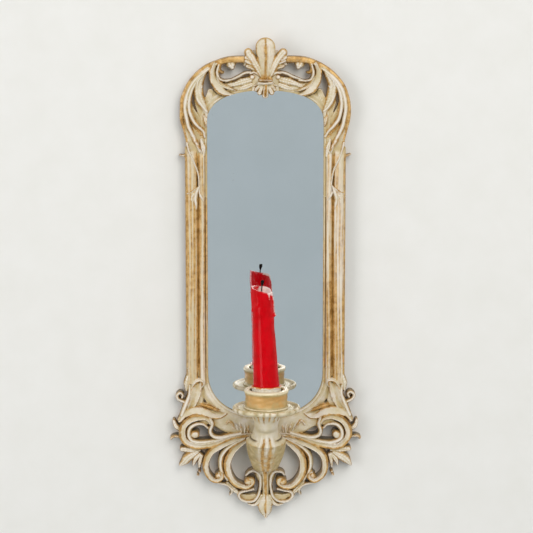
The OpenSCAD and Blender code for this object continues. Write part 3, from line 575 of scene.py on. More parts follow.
def refine(profile, step=0.7):
    """The profile with points close enough together for the worked surface."""
    out = [profile[0]]
    for a, b in zip(profile[:-1], profile[1:]):
        n = max(1, int(math.dist(a, b) / step))
        out += [(a[0] + (b[0] - a[0]) * i / n, a[1] + (b[1] - a[1]) * i / n) for i in range(1, n + 1)]
    return np.array(out, float)


# ---------------------------------------------------------------- materials

class Finish:
    """A node material. Each method adds one node and hands back its output."""

    def __init__(self, name, **uniform):
        self.material = bpy.data.materials.new(name)
        self.material.use_nodes = True
        self.tree = self.material.node_tree
        self.shader = self.tree.nodes["Principled BSDF"]
        for key, value in uniform.items():
            self.shader.inputs[key.replace("_", " ").title().replace("Ior", "IOR")].default_value = value
        self.place = self.add("ShaderNodeTexCoord").outputs["Object"]

    def add(self, kind, **settings):
        node = self.tree.nodes.new(kind)
        for key, value in settings.items():
            setattr(node, key, value)
        return node

    def join(self, value, socket):
        if hasattr(value, "is_linked"):
            self.tree.links.new(value, socket)
        else:
            socket.default_value = value

    def point(self, name):
        return self.add("ShaderNodeAttribute", attribute_name=name).outputs["Fac"]

    def stretched(self, scale):
        node = self.add("ShaderNodeMapping")
        self.join(self.place, node.inputs["Vector"])
        node.inputs["Scale"].default_value = scale
        return node.outputs["Vector"]

    def noise(self, size_mm, detail=4, roughness=0.55, place=None, warp=0):
        node = self.add("ShaderNodeTexNoise")
        self.join(place or self.place, node.inputs["Vector"])
        node.inputs["Scale"].default_value = 1000 / size_mm
        node.inputs["Detail"].default_value = detail
        node.inputs["Roughness"].default_value = roughness
        node.inputs["Distortion"].default_value = warp
        return node.outputs["Fac"]

    def ramp(self, value, *stops):
        node = self.add("ShaderNodeValToRGB")
        self.join(value, node.inputs["Fac"])
        elements = node.color_ramp.elements
        while len(elements) < len(stops):
            elements.new(0.5)
        for element, (position, colour) in zip(elements, stops):
            element.position = position
            element.color = (*(colour if hasattr(colour, "__len__") else (colour,) * 3), 1)
        return node.outputs["Color"]

    def step(self, value, low, high, start=0.0, end=1.0):
        node = self.add("ShaderNodeMapRange", interpolation_type="SMOOTHSTEP")
        self.join(value, node.inputs["Value"])
        for key, v in (("From Min", low), ("From Max", high), ("To Min", start), ("To Max", end)):
            node.inputs[key].default_value = v
        return node.outputs["Result"]

    def math(self, operation, a, b=0.0):
        node = self.add("ShaderNodeMath", operation=operation)
        self.join(a, node.inputs[0])
        self.join(b, node.inputs[1])
        return node.outputs["Value"]

    def plus(self, a, b):
        return self.math("ADD", a, b)

    def times(self, a, b):
        return self.math("MULTIPLY", a, b)

    def mix(self, factor, a, b, blend="MIX"):
        node = self.add("ShaderNodeMix", data_type="RGBA", blend_type=blend)
        self.join(factor, node.inputs["Factor"])
        self.join(a if hasattr(a, "is_linked") else (*a, 1), node.inputs[6])
        self.join(b if hasattr(b, "is_linked") else (*b, 1), node.inputs[7])
        return node.outputs[2]

    def bump(self, height, distance_mm, strength=1.0):
        node = self.add("ShaderNodeBump")
        self.join(height, node.inputs["Height"])
        node.inputs["Distance"].default_value = distance_mm * MM
        node.inputs["Strength"].default_value = strength
        self.wear(Normal=node.outputs["Normal"])

    def wear(self, **sockets):
        for key, value in sockets.items():
            self.join(value, self.shader.inputs[key.replace("_", " ")])
        return self


def srgb(r, g, b):
    """A colour given as it looks on screen, as light values."""
    return tuple((c / 255 / 12.92) if c <= 10 else ((c / 255 + 0.055) / 1.055) ** 2.4 for c in (r, g, b))


def carved_finish(name, gold_share=0.0):
    """Cream paint with an ochre wash in the hollows that also stands in for their shade, a painted highlight
    on the ridges, brown in the depths that is partly glaze and partly painted shade, dark olive painted
    shade on the walls of the piercings, and rubbed gold.
    """
    f = Finish(name, ior=1.45)
    gild, cavity, low, crest = (f.point(key) for key in ("gild", "cavity", "low", "crest"))
    grain, upright = f.point("grain"), f.stretched((1, 1, 0.06))

    def brushed(*noise):
        """Noise that is drawn out along the rails."""
        plain, long = f.noise(*noise), f.noise(*noise, upright)
        return f.plus(plain, f.times(grain, f.math("SUBTRACT", long, plain)))

    cloud, fine, grime = brushed(14, 5, 0.6), f.noise(2.2, 4, 0.6), brushed(6, 4, 0.6)
    pale = f.ramp(cloud, (0.36, srgb(204, 188, 150)), (0.5, srgb(216, 204, 178)),
                  (0.64, srgb(224, 213, 196)))
    ochre = f.ramp(grime, (0.36, srgb(160, 138, 84)), (0.5, srgb(184, 162, 112)),
                   (0.64, srgb(200, 181, 138)))
    # The ochre wash in the hollows is partly wash and partly painted shade.
    wash = f.plus(f.times(low, 0.85), f.step(grime, 0.4, 0.7, -0.12, 0.3))
    colour = f.mix(f.step(wash, 0.1, 0.8), pale, ochre)
    # Painted highlight: the ridges are lightened to near-white.
    colour = f.mix(f.step(crest, 0.2, 0.9, 0, 0.7), colour, srgb(240, 231, 218))
    gold = f.ramp(f.noise(5, 4, 0.6, warp=0.6), (0.35, srgb(158, 114, 52)), (0.48, srgb(190, 146, 78)),
                  (0.6, srgb(208, 170, 106)), (0.72, srgb(208, 148, 88)))
    broken = f.step(brushed(3.4, 5, 0.65), 0.34, 0.62, -0.28, 0.22)
    leaf = f.step(f.plus(f.plus(gild, gold_share), broken), 0.12, 0.85)
    colour = f.mix(leaf, colour, gold)
    # Painted shade: brown in the hollows, partly glaze, and dark olive where cavity is highest, mostly on
    # the walls of the piercings.
    colour = f.mix(f.step(cavity, 0.3, 0.8, 0, 0.62), colour, srgb(128, 98, 50))
    colour = f.mix(f.step(cavity, 0.7, 1.0, 0, 0.9), colour, srgb(66, 60, 38))
    wood = f.ramp(f.noise(5, 5, 0.6, f.stretched((1, 1, 0.08)), 0.6), (0.34, srgb(134, 102, 66)),
                  (0.5, srgb(162, 128, 86)), (0.66, srgb(182, 150, 108)))
    colour = f.mix(f.step(f.point("bare"), 0.9, 1.0), colour, wood)
    f.wear(**{"Base Color": colour, "Metallic": f.times(leaf, 0.25),
              "Roughness": f.plus(f.step(leaf, 0, 1, 0.48, 0.34), f.times(fine, 0.14))})
    f.bump(f.plus(fine, f.times(f.noise(0.8, 3), 0.4)), 0.14, 0.6)
    return f.material


def bare_wood_finish():
    f = Finish("bare_wood", ior=1.45)
    grain = f.noise(6, 6, 0.6, f.stretched((1, 1, 0.08)), 0.8)
    pores = f.noise(0.7, 3, 0.7, f.stretched((1, 1, 0.05)))
    colour = f.ramp(grain, (0.3, srgb(122, 88, 54)), (0.5, srgb(168, 130, 86)), (0.7, srgb(196, 162, 116)))
    colour = f.mix(f.step(pores, 0.55, 0.7, 0, 0.6), colour, srgb(92, 64, 38))
    stains = f.step(f.noise(40, 3), 0.5, 0.7, 0, 0.5)
    f.wear(**{"Base Color": f.mix(stains, colour, srgb(110, 86, 60)),
              "Roughness": f.step(grain, 0.3, 0.7, 0.62, 0.82)})
    f.bump(pores, 0.15, 0.6)
    return f.material


def mirror_finish():
    """Old silvering: faint haze, with a few foxed spots where the haze is thickest."""
    f = Finish("mirror_glass", metallic=1.0)
    haze = f.noise(60, 3)
    fox = f.times(f.step(f.noise(5, 6, 0.7), 0.66, 0.76), f.step(haze, 0.5, 0.62))
    colour = f.ramp(haze, (0.35, (0.86, 0.885, 0.89)), (0.65, (0.90, 0.92, 0.93)))
    f.wear(**{"Base Color": f.mix(f.times(fox, 0.35), colour, (0.3, 0.27, 0.22)),
              "Roughness": f.plus(f.step(haze, 0.4, 0.7, 0.012, 0.03), f.times(fox, 0.3))})
    return f.material


def steel_finish():
    f = Finish("steel_fittings", metallic=1.0)
    brushed = f.noise(0.9, 4, 0.6, f.stretched((1, 1, 0.15)))
    spots = f.step(f.noise(3, 5, 0.7), 0.56, 0.68)
    colour = f.ramp(brushed, (0.3, (0.42, 0.42, 0.43)), (0.7, (0.66, 0.66, 0.65)))
    f.wear(**{"Base Color": f.mix(f.times(spots, 0.5), colour, (0.25, 0.19, 0.13)),
              "Roughness": f.step(brushed, 0.3, 0.7, 0.28, 0.46)})
    f.bump(brushed, 0.03, 0.5)
    return f.material


def tray_finish():
    """Satin cream with the gold rubbed on to the edge, a painted highlight on the beads and painted shade in
    the creases.
    """
    f = Finish("painted_tray", ior=1.5)
    gild, pale, cavity = f.point("gild"), f.point("pale"), f.point("cavity")
    cloud, fine = f.noise(11, 5, 0.6), f.noise(2, 4)
    cream = f.ramp(cloud, (0.35, srgb(182, 165, 116)), (0.5, srgb(198, 183, 137)),
                   (0.68, srgb(214, 201, 164)))
    gold = f.ramp(f.noise(4, 4, 0.6, warp=0.6), (0.36, srgb(160, 118, 62)), (0.55, srgb(206, 160, 104)))
    leaf = f.step(f.plus(gild, f.step(fine, 0.35, 0.65, -0.3, 0.25)), 0.25, 0.75)
    # Painted highlight on the beads.
    cream = f.mix(f.step(pale, 0.2, 0.9, 0, 0.85), cream, srgb(232, 220, 196))
    # Painted shade in the creases.
    colour = f.mix(f.times(cavity, 0.8), f.mix(leaf, cream, gold), srgb(122, 90, 50))
    f.wear(**{"Base Color": colour, "Metallic": f.times(leaf, 0.4),
              "Roughness": f.step(fine, 0.3, 0.7, 0.34, 0.5)})
    f.bump(fine, 0.12, 0.5)
    return f.material


def cup_finish():
    """Rubbed gold over beige, strongest in a band under the rim, with a painted highlight on the rolled rim
    and foot and painted shade in the creases.
    """
    f = Finish("gilt_cup", ior=1.5)
    mottle, fine = f.noise(9, 4, 0.55, warp=0.4), f.noise(1.6, 4)
    gild, pale, cavity = f.point("gild"), f.point("pale"), f.point("cavity")
    beige = f.ramp(mottle, (0.34, srgb(184, 158, 100)), (0.5, srgb(200, 178, 124)),
                   (0.66, srgb(214, 196, 150)))
    gold = f.ramp(mottle, (0.34, srgb(180, 132, 66)), (0.66, srgb(206, 162, 96)))
    rubbed = f.plus(gild, f.step(mottle, 0.35, 0.65, -0.25, 0.25))
    colour = f.mix(f.step(rubbed, 0.15, 0.85), beige, gold)
    # Painted highlight on the rolled rim and foot.
    rim_and_foot_highlight = f.plus(pale, f.step(fine, 0.35, 0.65, -0.2, 0.2))
    colour = f.mix(f.step(rim_and_foot_highlight, 0.2, 0.9), colour, srgb(228, 214, 180))
    # Painted shade in the creases and the bore.
    f.wear(**{"Base Color": f.mix(f.times(cavity, 0.85), colour, srgb(92, 70, 34)),
              "Metallic": f.step(mottle, 0.4, 0.6, 0.14, 0.06),
              "Roughness": f.step(fine, 0.3, 0.7, 0.32, 0.46)})
    f.bump(f.plus(mottle, f.times(fine, 0.3)), 0.12, 0.4)
    return f.material


def sleeve_finish():
    f = Finish("cream_sleeve", ior=1.5)
    gild = f.point("gild")
    stain = f.noise(5, 4)
    cream = f.ramp(stain, (0.35, srgb(222, 208, 180)), (0.6, srgb(240, 234, 220)))
    rusty = f.step(f.plus(gild, f.step(f.noise(1.6, 3), 0.35, 0.65, -0.25, 0.25)), 0.3, 0.7)
    f.wear(**{"Base Color": f.mix(rusty, cream, srgb(206, 128, 60)),
              "Roughness": f.step(stain, 0.3, 0.7, 0.22, 0.36)})
    f.bump(stain, 0.08, 0.4)
    return f.material


def wax_finish():
    """Red wax that lets light in, paler where it has melted and set again."""
    f = Finish("red_wax", ior=1.44, subsurface_weight=0.1, subsurface_scale=0.003,
               coat_weight=0.16, coat_roughness=0.08)
    f.shader.inputs["Specular IOR Level"].default_value = 0.06
    f.shader.inputs["Subsurface Radius"].default_value = (1.0, 0.18, 0.12)
    pale, soot = f.point("pale"), f.point("soot")
    cloud = f.noise(9, 4)
    red = f.ramp(cloud, (0.35, srgb(184, 0, 8)), (0.6, srgb(204, 0, 14)))
    melt = f.step(f.plus(pale, f.step(f.noise(2.4, 4), 0.35, 0.65, -0.2, 0.2)), 0.25, 0.85)
    colour = f.mix(melt, red, srgb(226, 196, 188))
    f.wear(**{"Base Color": f.mix(f.times(soot, 0.9), colour, srgb(60, 18, 14)),
              "Roughness": f.plus(f.step(cloud, 0.3, 0.7, 0.14, 0.2), f.times(melt, 0.1))})
    f.bump(f.plus(cloud, f.times(f.noise(4, 2), 0.2)), 0.35, 0.3)
    return f.material


def wick_finish():
    f = Finish("burnt_wick", ior=1.4)
    braid = f.noise(0.6, 4, 0.7)
    f.shader.inputs["Specular IOR Level"].default_value = 0.1
    f.wear(**{"Base Color": f.ramp(braid, (0.35, (0.004, 0.003, 0.003)), (0.7, (0.02, 0.016, 0.014))),
              "Roughness": f.step(braid, 0.3, 0.7, 0.75, 0.95)})
    f.bump(braid, 0.25)
    return f.material


CARVED = carved_finish("painted_carving")
GILT = carved_finish("gilt_carving", 0.12)
WOOD = bare_wood_finish()
MIRROR = mirror_finish()
STEEL = steel_finish()
TRAY = tray_finish()
CUP = cup_finish()
SLEEVE = sleeve_finish()
WAX = wax_finish()
WICK = wick_finish()


# ---------------------------------------------------------------- the frame's carved members

def rabbet_depth(x, z):
    """The back of the wood: the wall, or the bottom of the pane's recess."""
    return np.where(opening_distance(x, z) < LAP + PANE_GAP, GLASS_FRONT, 0.0)


def add_rail(piece, low, high, faded=False):
    """The moulded rail of both sides between two heights; faded, it comes up out of the ground."""
    t = np.abs(piece.x) - STILE_IN
    across = np.minimum(t, STILE_OUT - STILE_IN - t)
    inside = np.minimum(across, np.minimum(piece.z - low, high - piece.z) + 1)
    rise = smooth_step(high - piece.z, -1, 9) if faded else 1
    height = GROUND + (rail_height(piece.x, piece.z) - GROUND) * rise
    piece.area(inside, height, rail_gold(piece.x, piece.z) * rise, 1)


def add_band(piece, keep):
    """The plain moulding round the mirror, as far as keep is positive."""
    d = opening_distance(piece.x, piece.z)
    inside = np.minimum(np.minimum(d + 1, 9 - d), keep)
    piece.area(inside, band_height(d) + 0 * piece.x, 0.35 * bell(d - 2.1, 0.4))


def open_mirror(piece):
    """Cuts the piece back to the mirror's opening."""
    piece.inside = np.minimum(piece.inside, opening_distance(piece.x, piece.z))


def crown():
    """The arch over the mirror, cut away behind for the hanger block."""
    high = box_mm("crown")[1]
    piece = Relief(-84, 84, CROWN_JOINT, high[2] + 3, seed=3)
    add_band(piece, piece.z - CROWN_JOINT + 2)
    add_rail(piece, CROWN_JOINT - 2, CROWN_JOINT + 42, faded=True)
    block_low, block_high = box_mm("hanger_block")
    body = np.minimum(block_high[2] - piece.z, piece.z - SIGHT_TOP + 6)
    body = np.minimum(block_high[0] - np.abs(piece.x), body)
    piece.area(body, 15.6 - 0.02 * piece.x ** 2, 0 * piece.x)
    piece.strokes(CROWN)
    open_mirror(piece)
    back = rabbet_depth(piece.x, piece.z)
    notch = (np.abs(piece.x) < block_high[0]) & (piece.z > block_low[2])
    back = np.where(notch, -block_low[1], back)
    piece.build("crown", CARVED, back, ("crown",), "painted_carving")


def stile(side, name):
    """A side rail with the recesses of its two turn buttons."""
    x0, x1 = sorted((side * (STILE_IN - 1.5), side * (STILE_OUT + 1.5)))
    piece = Relief(x0, x1, APRON_JOINT, CROWN_JOINT, seed=7)
    add_rail(piece, APRON_JOINT - 2, CROWN_JOINT + 2)
    open_mirror(piece)
    back = rabbet_depth(piece.x, piece.z)
    for level in ("upper", "lower"):
        low, high = box_mm(f"turn_button_{level}_{name}")
        width = high[2] - low[2]
        reach = high[0] - low[0] - width / 2
        middle = (high[2] + low[2]) / 2
        edge = max(abs(low[0]), abs(high[0])) + 1
        recess = (np.abs(piece.x) < edge) & (piece.z > middle - width) & (piece.z < middle + reach + 1)
        back = np.where(recess, np.maximum(back, -low[1]), back)
    piece.build(f"{name}_stile", CARVED, back, (f"{name}_stile",), "painted_carving")


def apron():
    """Pierced scrolls under the mirror, flat where the bracket sits and bored for its screws."""
    low, high = box_mm("apron")
    piece = Relief(-86, 86, low[2] - 3, APRON_JOINT, seed=5)
    add_band(piece, APRON_JOINT - piece.z + 2)
    add_rail(piece, APRON_JOINT - 12, APRON_JOINT + 2)
    piece.strokes(APRON, APRON_MIDDLE)
    open_mirror(piece)
    bracket_low, bracket_high = box_mm("bracket")
    pad = -bracket_high[1]
    flat = (np.abs(piece.x) < 10) & (piece.z > bracket_low[2] + 1) & (piece.z < bracket_high[2])
    piece.h = np.where(flat, np.minimum(piece.h, pad), piece.h)
    back = rabbet_depth(piece.x, piece.z)
    screw_low, screw_high = box_mm("bracket_screws")
    head = screw_high[0]
    for z in (screw_low[2] + head, screw_high[2] - head):
        back = np.where(np.hypot(piece.x, piece.z - z) < head + 0.5, SCREW_SINK, back)
    piece.build("apron", CARVED, back, ("apron",), "painted_carving")


def crest_palmette():
    """Bud, side leaves and shell, let a little way into the crown."""
    seat = -box_mm("crest_palmette")[1][1]
    piece = Relief(-26, 26, -27, 31, seed=11)
    piece.strokes(CREST, CREST_MIDDLE)
    piece.build("crest_palmette", GILT, seat - 3.5, ("crest_palmette",), "gilt_carving")


def husk(side, name):
    """Leaf drop over the joint of crown and stile."""
    seat = -box_mm(f"{name}_husk")[1][1]
    x0, x1 = sorted((side * 49, side * 71))
    piece = Relief(x0, x1, -124, -93, seed=13)
    for s in HUSK:
        piece.stroke(*s, side=side)
    open_mirror(piece)
    piece.build(f"{name}_husk", GILT, seat - 2, (f"{name}_husk",), "gilt_carving")


# ---------------------------------------------------------------- bracket, tray, cup and candle

def bracket():
    """Carved arm: a pointed calyx on the apron, a plain neck and a fluted shell under the tray."""
    low, high = box_mm("bracket")
    foot, top, pad = low[2], high[2], -high[1]
    height, depth = top - foot, (-AXIS_Y + 5 - pad) / 2
    # Share of the height, half width, then the centre off the pad and the half depth, in depths
    on_wall = ((0.00, 5.0, 0.20, 0.20), (0.015, 8.2, 0.29, 0.29), (0.045, 10.2, 0.37, 0.37),
               (0.09, 11.4, 0.43, 0.43), (0.15, 12.6, 0.49, 0.49), (0.28, 15.2, 0.64, 0.64),
               (0.42, 17.2, 0.79, 0.79), (0.51, 17.8, 0.87, 0.87), (0.53, 17.6, 0.88, 0.87),
               (0.55, 13.6, 0.9, 0.84), (0.60, 11.6, 0.94, 0.8), (0.68, 10.4, 1.05, 0.72))
    # The same in mm, with the centre off the candle's axis
    under_tray = ((0.76, 9.8, 8.5, 15), (0.84, 10.6, 5, 12.4), (0.92, 12.4, 2, 12.8),
                  (0.965, 14.2, 0, 14.2), (1.0, 14.6, 0, 14.6))
    stations = np.array([(share, w, pad + c * depth, d * depth) for share, w, c, d in on_wall]
                        + [(share, w, -AXIS_Y - c, d) for share, w, c, d in under_tray])
    t = np.linspace(0, 1, 160)
    half_w, centre, half_d = (np.interp(t, stations[:, 0], stations[:, i]) for i in (1, 2, 3))
    for run in (half_w, half_d):
        run[1:-1] = (run[:-2] + 2 * run[1:-1] + run[2:]) / 4
    angle = np.linspace(0, 2 * np.pi, 264, endpoint=False)[None]
    t = t[:, None]
    facing = np.cos(angle)
    calyx = smooth_step(t, 0.0, 0.04) * smooth_step(0.545 - t, 0, 0.03)
    flutes = smooth_step(t, 0.0, 0.04) * smooth_step(0.7 - t, 0, 0.2)
    shell = smooth_step(t, 0.8, 0.94) * smooth_step(facing, 0.0, 0.4)
    middle = np.exp(-(np.sin(angle) / 0.5) ** 4) * (facing > 0)
    reeds, ribs = np.abs(np.cos(angle * 8 + 0.3 * np.sin(t * 9))), np.abs(np.cos(angle * 8))
    leaf = calyx * (1 - middle) * 0.035 * np.sin(angle * 4 + t * 9)
    nub = 0.12 * bell(np.sin(angle), 0.28) * bell(t - 0.73, 0.014) * (facing > 0)
    work = 1 + flutes * middle * (0.08 * reeds - 0.045) + leaf + shell * 0.085 * (ribs - 0.6) + nub
    x = half_w[:, None] * np.sin(angle) * work
    y = -np.maximum(centre[:, None] + half_d[:, None] * facing * work, pad)
    tips = smooth_step(t, 0.45, 0.53) * smooth_step(0.56 - t, 0, 0.03) * np.abs(facing) * 3
    z = foot + height * t - tips
    rings = np.stack([x, y, z + 0 * x], -1)
    ends = [(0, y[0].mean(), foot), (0, AXIS_Y, top)]
    ob = loft("bracket", rings, ends, CARVED, ("bracket",), "painted_carving")
    sides = smooth_step(np.abs(np.sin(angle)), 0.35, 0.75)
    low_half = smooth_step(0.46 - t, 0, 0.2)
    gild = flutes * middle * (0.15 + 0.3 * low_half + 0.8 * smooth_step(0.8 - reeds, 0, 0.5))
    gild = gild + shell * smooth_step(0.7 - ribs, 0, 0.4) * 0.9
    gild = gild + calyx * sides * 0.4 * smooth_step(t, 0.47, 0.52)
    # Painted shade in the grooves of the flutes and shell and in a line under the calyx's points, stored as
    # cavity.
    dark = flutes * middle * smooth_step(0.3 - reeds, 0, 0.3) * 0.35
    dark = dark + shell * smooth_step(0.3 - ribs, 0, 0.3) * 0.7 + sides * bell(t - 0.556, 0.012)
    # Painted shade: the calyx's sides take the ochre wash more heavily.
    low = 0.6 * calyx * (1 - middle) + 0.25 * calyx + 0.08
    # Painted light: the reeds' tops and the neck and shell above them are lightened, stored as crest.
    pale = flutes * middle * smooth_step(reeds, 0.8, 1) * (0.9 - 0.5 * low_half)
    pale = pale + 0.3 * smooth_step(t, 0.55, 0.6)
    paint(ob, x, gild=gild, cavity=dark, low=low, crest=pale)


def drip_tray():
    """Shallow dish whose thick edge is worked into beads."""
    low, high = box_mm("drip_tray")
    edge, rise = high[0], high[2] - low[2]
    floor = box_mm("candle_cup")[0][2] - low[2]
    cup_edge = box_mm("candle_cup")[1][0]
    profile = [(0.5, 0), (12, 0), (17, 0.15), (edge - 4.5, 0.5), (edge - 2.6, 0.3), (edge - 1.0, 0.75),
               (edge - 0.35, 1.5), (edge, 2.3), (edge - 0.2, 3.2), (edge - 0.7, rise - 0.4),
               (edge - 1.6, rise), (edge - 2.6, rise - 0.25), (edge - 4.2, floor + 0.35),
               (edge - 6, floor), (0.5, floor)]

    def wave(angle):
        return np.abs(np.cos(angle * 11 + 0.9 * np.sin(angle * 4) + 0.5 * np.sin(angle * 7))) ** 0.6

    def beads(radius, height, angle):
        on_edge = smooth_step(radius, edge - 1.8, edge - 0.4) * smooth_step(height, 0.6, 1.4)
        gap = on_edge * (1 - wave(angle))
        return radius - 0.6 * gap, height + 0.2 * gap

    ob, radius, height, angle = lathe("drip_tray", profile, low[2], beads, TRAY, "painted_tray", 288)
    bead = wave(angle)
    rim = smooth_step(radius, edge - 1.6, edge - 0.6)
    gild = 0.45 * rim * smooth_step(height, 3.0, 4.0) + 0.25 * rim * (1 - bead)
    # Painted highlight on the tops of the beads.
    pale = rim * bead * (0.75 + 0.25 * np.sin(angle * 5 + 1))
    # Painted shade between the beads, in the crease inside the rim and round the cup's foot.
    crease_shade = rim * (1 - bead) * 0.6 + 0.6 * bell(radius - edge + 4.4, 0.7)
    crease_shade = crease_shade + 0.6 * bell(radius - cup_edge, 0.8) * (height > 1.5)
    paint(ob, radius, gild=gild, pale=pale, cavity=crease_shade)


def candle_cup():
    """Turned cup with a rolled rim and foot, and the bore for the sleeve."""
    low, high = box_mm("candle_cup")
    r, h = high[0], high[2] - low[2]
    sleeve_gap, floor = 0.9, 4.0
    hole = box_mm("candle_sleeve")[1][0] + sleeve_gap
    profile = [(0.5, 0), (r - 0.5, 0), (r, 0.5), (r - 0.1, 1.2), (r - 0.9, 1.7), (r - 1.1, 2.6),
               (r - 1.2, 6), (r - 1.1, h - 5.0), (r - 0.7, h - 3.3), (r - 0.2, h - 2.6),
               (r, h - 1.7), (r - 0.05, h - 0.7), (r - 0.6, h - 0.05), (hole + 1.2, h),
               (hole + 0.2, h - 0.5), (hole, h - 1.4), (hole, floor), (0.5, floor)]

    def dents(radius, height, angle):
        outer = smooth_step(radius, hole + 1, hole + 2.4)
        uneven = 0.12 * np.sin(angle * 3 + height) + 0.07 * np.sin(angle * 7 - 1.7 * height)
        return radius + outer * uneven, height + 0 * angle

    ob, radius, height, angle = lathe("candle_cup", profile, low[2], dents, CUP, "gilt_cup")
    band = 0.5 + 0.35 * smooth_step(height, 0.35 * h, 0.6 * h) * (0.8 + 0.2 * np.sin(angle * 3))
    band = band * smooth_step(h - height, 2.4, 4.4) * smooth_step(height, 1.6, 3.4)
    outside = radius > hole + 1.5
    # Painted shade in the creases under the rim and over the foot, and in the bore round the sleeve.
    crease_shade = (0.6 * bell(height - 2.0, 0.5) + 0.2 * bell(height - h + 3.2, 0.5)) * outside
    crease_shade = crease_shade + 0.9 * (radius < hole + 0.4) * (height < h - 2)
    # Painted highlight on the rolled rim and foot.
    pale = smooth_step(height, h - 2.6, h - 1.4) + smooth_step(1.9 - height, 0, 0.8)
    paint(ob, radius, gild=band, pale=pale * (radius > hole + 0.8))
    paint(ob, radius, ends=(0.8, 0.8), cavity=crease_shade)


def candle_sleeve():
    """Thin tube round the candle, with a worn lip."""
    low, high = box_mm("candle_sleeve")
    h = high[2] - low[2]
    lip = high[0]
    outer, bore = lip - 0.8, lip - 1.9
    profile = [(0.5, 0), (outer, 0), (outer, h - 2.2), (outer + 0.25, h - 1.7), (lip - 0.1, h - 1.3),
               (lip, h - 0.7), (lip - 0.4, h - 0.1), (bore + 0.5, h), (bore, h - 0.4),
               (bore, 1.6), (0.5, 1.6)]

    def worn(radius, height, angle):
        chips = 0.25 * (height > h - 0.8) * np.sin(angle * 4) ** 2
        return radius + 0.05 * np.sin(angle * 5 + 1), height - chips

    ob, radius, height, angle = lathe("candle_sleeve", profile, low[2], worn, SLEEVE, "cream_sleeve", 128)
    paint(ob, radius, gild=smooth_step(height + 0.3 * np.sin(angle * 9), h - 1.3, h - 0.5))


def candle():
    """Burnt taper: it leans, swells a little, and has set runs of wax below a slanting rim."""
    low, high = box_mm("candle")
    wick_low, wick_high = box_mm("candle_wick")
    seat, top = low[2], high[2]
    base_r = high[0]
    lean = (wick_low[0] + wick_high[0]) / 2
    stand = box_mm("candle_sleeve")[1][2]
    top_r = lean - low[0]
    angle = np.linspace(0, 2 * np.pi, 144, endpoint=False)[None]
    rim = 1.2 - 4.8 * (0.5 + 0.5 * np.cos(angle - 1.0)) ** 1.6
    rim = rim + 0.35 * np.sin(angle * 3 + 1) + 0.2 * np.sin(angle * 7)
    t = np.linspace(0, 1, 200)[:, None]
    share = np.clip((seat + (top - seat) * t - stand) / (top - stand), 0, 1)
    radius = base_r + (top_r - base_r) * share ** 0.9
    radius = radius + share * (0.22 * np.sin(share * 17 + angle) + 0.16 * np.sin(share * 31 - angle * 2 + 2))
    down = (1 - share) * (top - stand)
    runs = 0 * radius
    pale_run = 0 * radius
    for where, width, length, thick, light in ((1.42, 0.22, 25, 1.9, 0.8), (0.8, 0.2, 9, 0.7, 0.5),
                                               (-0.5, 0.2, 15, 0.7, 0.12), (-1.4, 0.25, 21, 0.9, 0.05),
                                               (2.6, 0.22, 17, 0.9, 0.2), (-2.5, 0.2, 9, 0.8, 0.1)):
        turn = (angle - where + 0.05 * np.sin(down * 0.35) + np.pi) % (2 * np.pi) - np.pi
        across = bell(turn, width) ** (1.6 - 0.6 * bell(down - length + 2, 2.4))
        along = smooth_step(length - down, 0, 2.2) * (0.65 + 0.5 * bell(down - length + 2.2, 2))
        runs = runs + thick * across * along
        pale_run = pale_run + light * across * smooth_step(length - down, -0.5, 1.5)
    radius = radius + runs * (share > 0)
    z = seat + (top - seat) * t + rim * smooth_step(share, 0.86, 1)
    shift = lean * share
    side = turned(radius, z, angle, shift)
    inward = np.array([0.97, 0.9, 0.84, 0.78, 0.68, 0.55, 0.4, 0.25, 0.12])[:, None]
    sunk = np.array([0.4, 0.3, -0.3, -1.2, -2.4, -3.4, -4.0, -4.2, -4.0])[:, None]
    pool_r = (radius[-1:] - 0.1) * inward
    bowl = turned(pool_r, top + rim * np.clip(inward * 1.2 - 0.2, 0.3, 1) + sunk - 0.4, angle, lean)
    rings = np.concatenate([side, bowl])
    ends = [(0, AXIS_Y, seat), (lean, AXIS_Y, top - 5.4)]
    ob = loft("candle", rings, ends, WAX, ("candle",), "red_wax", body="candle")
    to_right = 0.5 + 0.5 * np.sin(angle - 0.2)
    near_rim = smooth_step(share, 0.985 - 0.035 * to_right, 1.0) * (0.1 + 0.95 * to_right ** 2)
    wall = np.repeat(0.2 + 0.75 * to_right, len(inward), 0)
    pale = np.concatenate([near_rim + pale_run * (share > 0), wall])
    soot = np.concatenate([0 * (side[..., 0]), (1 - smooth_step(inward, 0.1, 0.5)) + 0 * wall])
    put(ob, "pale", np.append(pale.ravel(), [0, 0.5]))
    put(ob, "soot", np.append(soot.ravel(), [0, 1]))


def candle_wick():
    """Thin stem with a charred, thicker head."""
    low, high = box_mm("candle_wick")
    x = (low[0] + high[0]) / 2
    t = np.linspace(0, 1, 60)[:, None]
    angle = np.linspace(0, 2 * np.pi, 28, endpoint=False)[None]
    up = low[2] - 4.5 + (high[2] - low[2] + 4.3) * t
    bend = np.stack([x + 0.9 * t ** 2, AXIS_Y - 0.5 * t ** 2, up], -1)
    head = 0.95 * smooth_step(t, 0.5, 0.85) - 0.25 * smooth_step(t, 0.95, 1)
    r = 0.5 + head + 0.07 * np.sin(t * 50 + angle * 3)
    ring = np.stack([r * np.sin(angle), -r * np.cos(angle), 0 * r], -1)
    ends = [bend[0, 0], bend[-1, 0] + (0, 0, 0.2)]
    loft("candle_wick", bend + ring, ends, WICK, ("candle_wick",), "burnt_wick", body="candle")


# ---------------------------------------------------------------- CAD nodes shown as they are

def carried_over():
    """The pane, the wooden parts behind and the metal fittings keep their CAD shape."""
    looks = {MIRROR: ("mirror_pane",),
             WOOD: ("backing_board", "frame_dowels", "hanger_block"),
             STEEL: ("turn_button_upper_left", "turn_button_upper_right", "turn_button_lower_left",
                     "turn_button_lower_right", "turn_button_screws", "hanger_plate", "hanger_screws",
                     "bracket_screws", "cup_washer", "cup_screw")}
    for material, names in looks.items():
        for name in names:
            ob = bpy.data.objects[name]
            ob.data.materials.clear()
            ob.data.materials.append(material)


# ---------------------------------------------------------------- studio

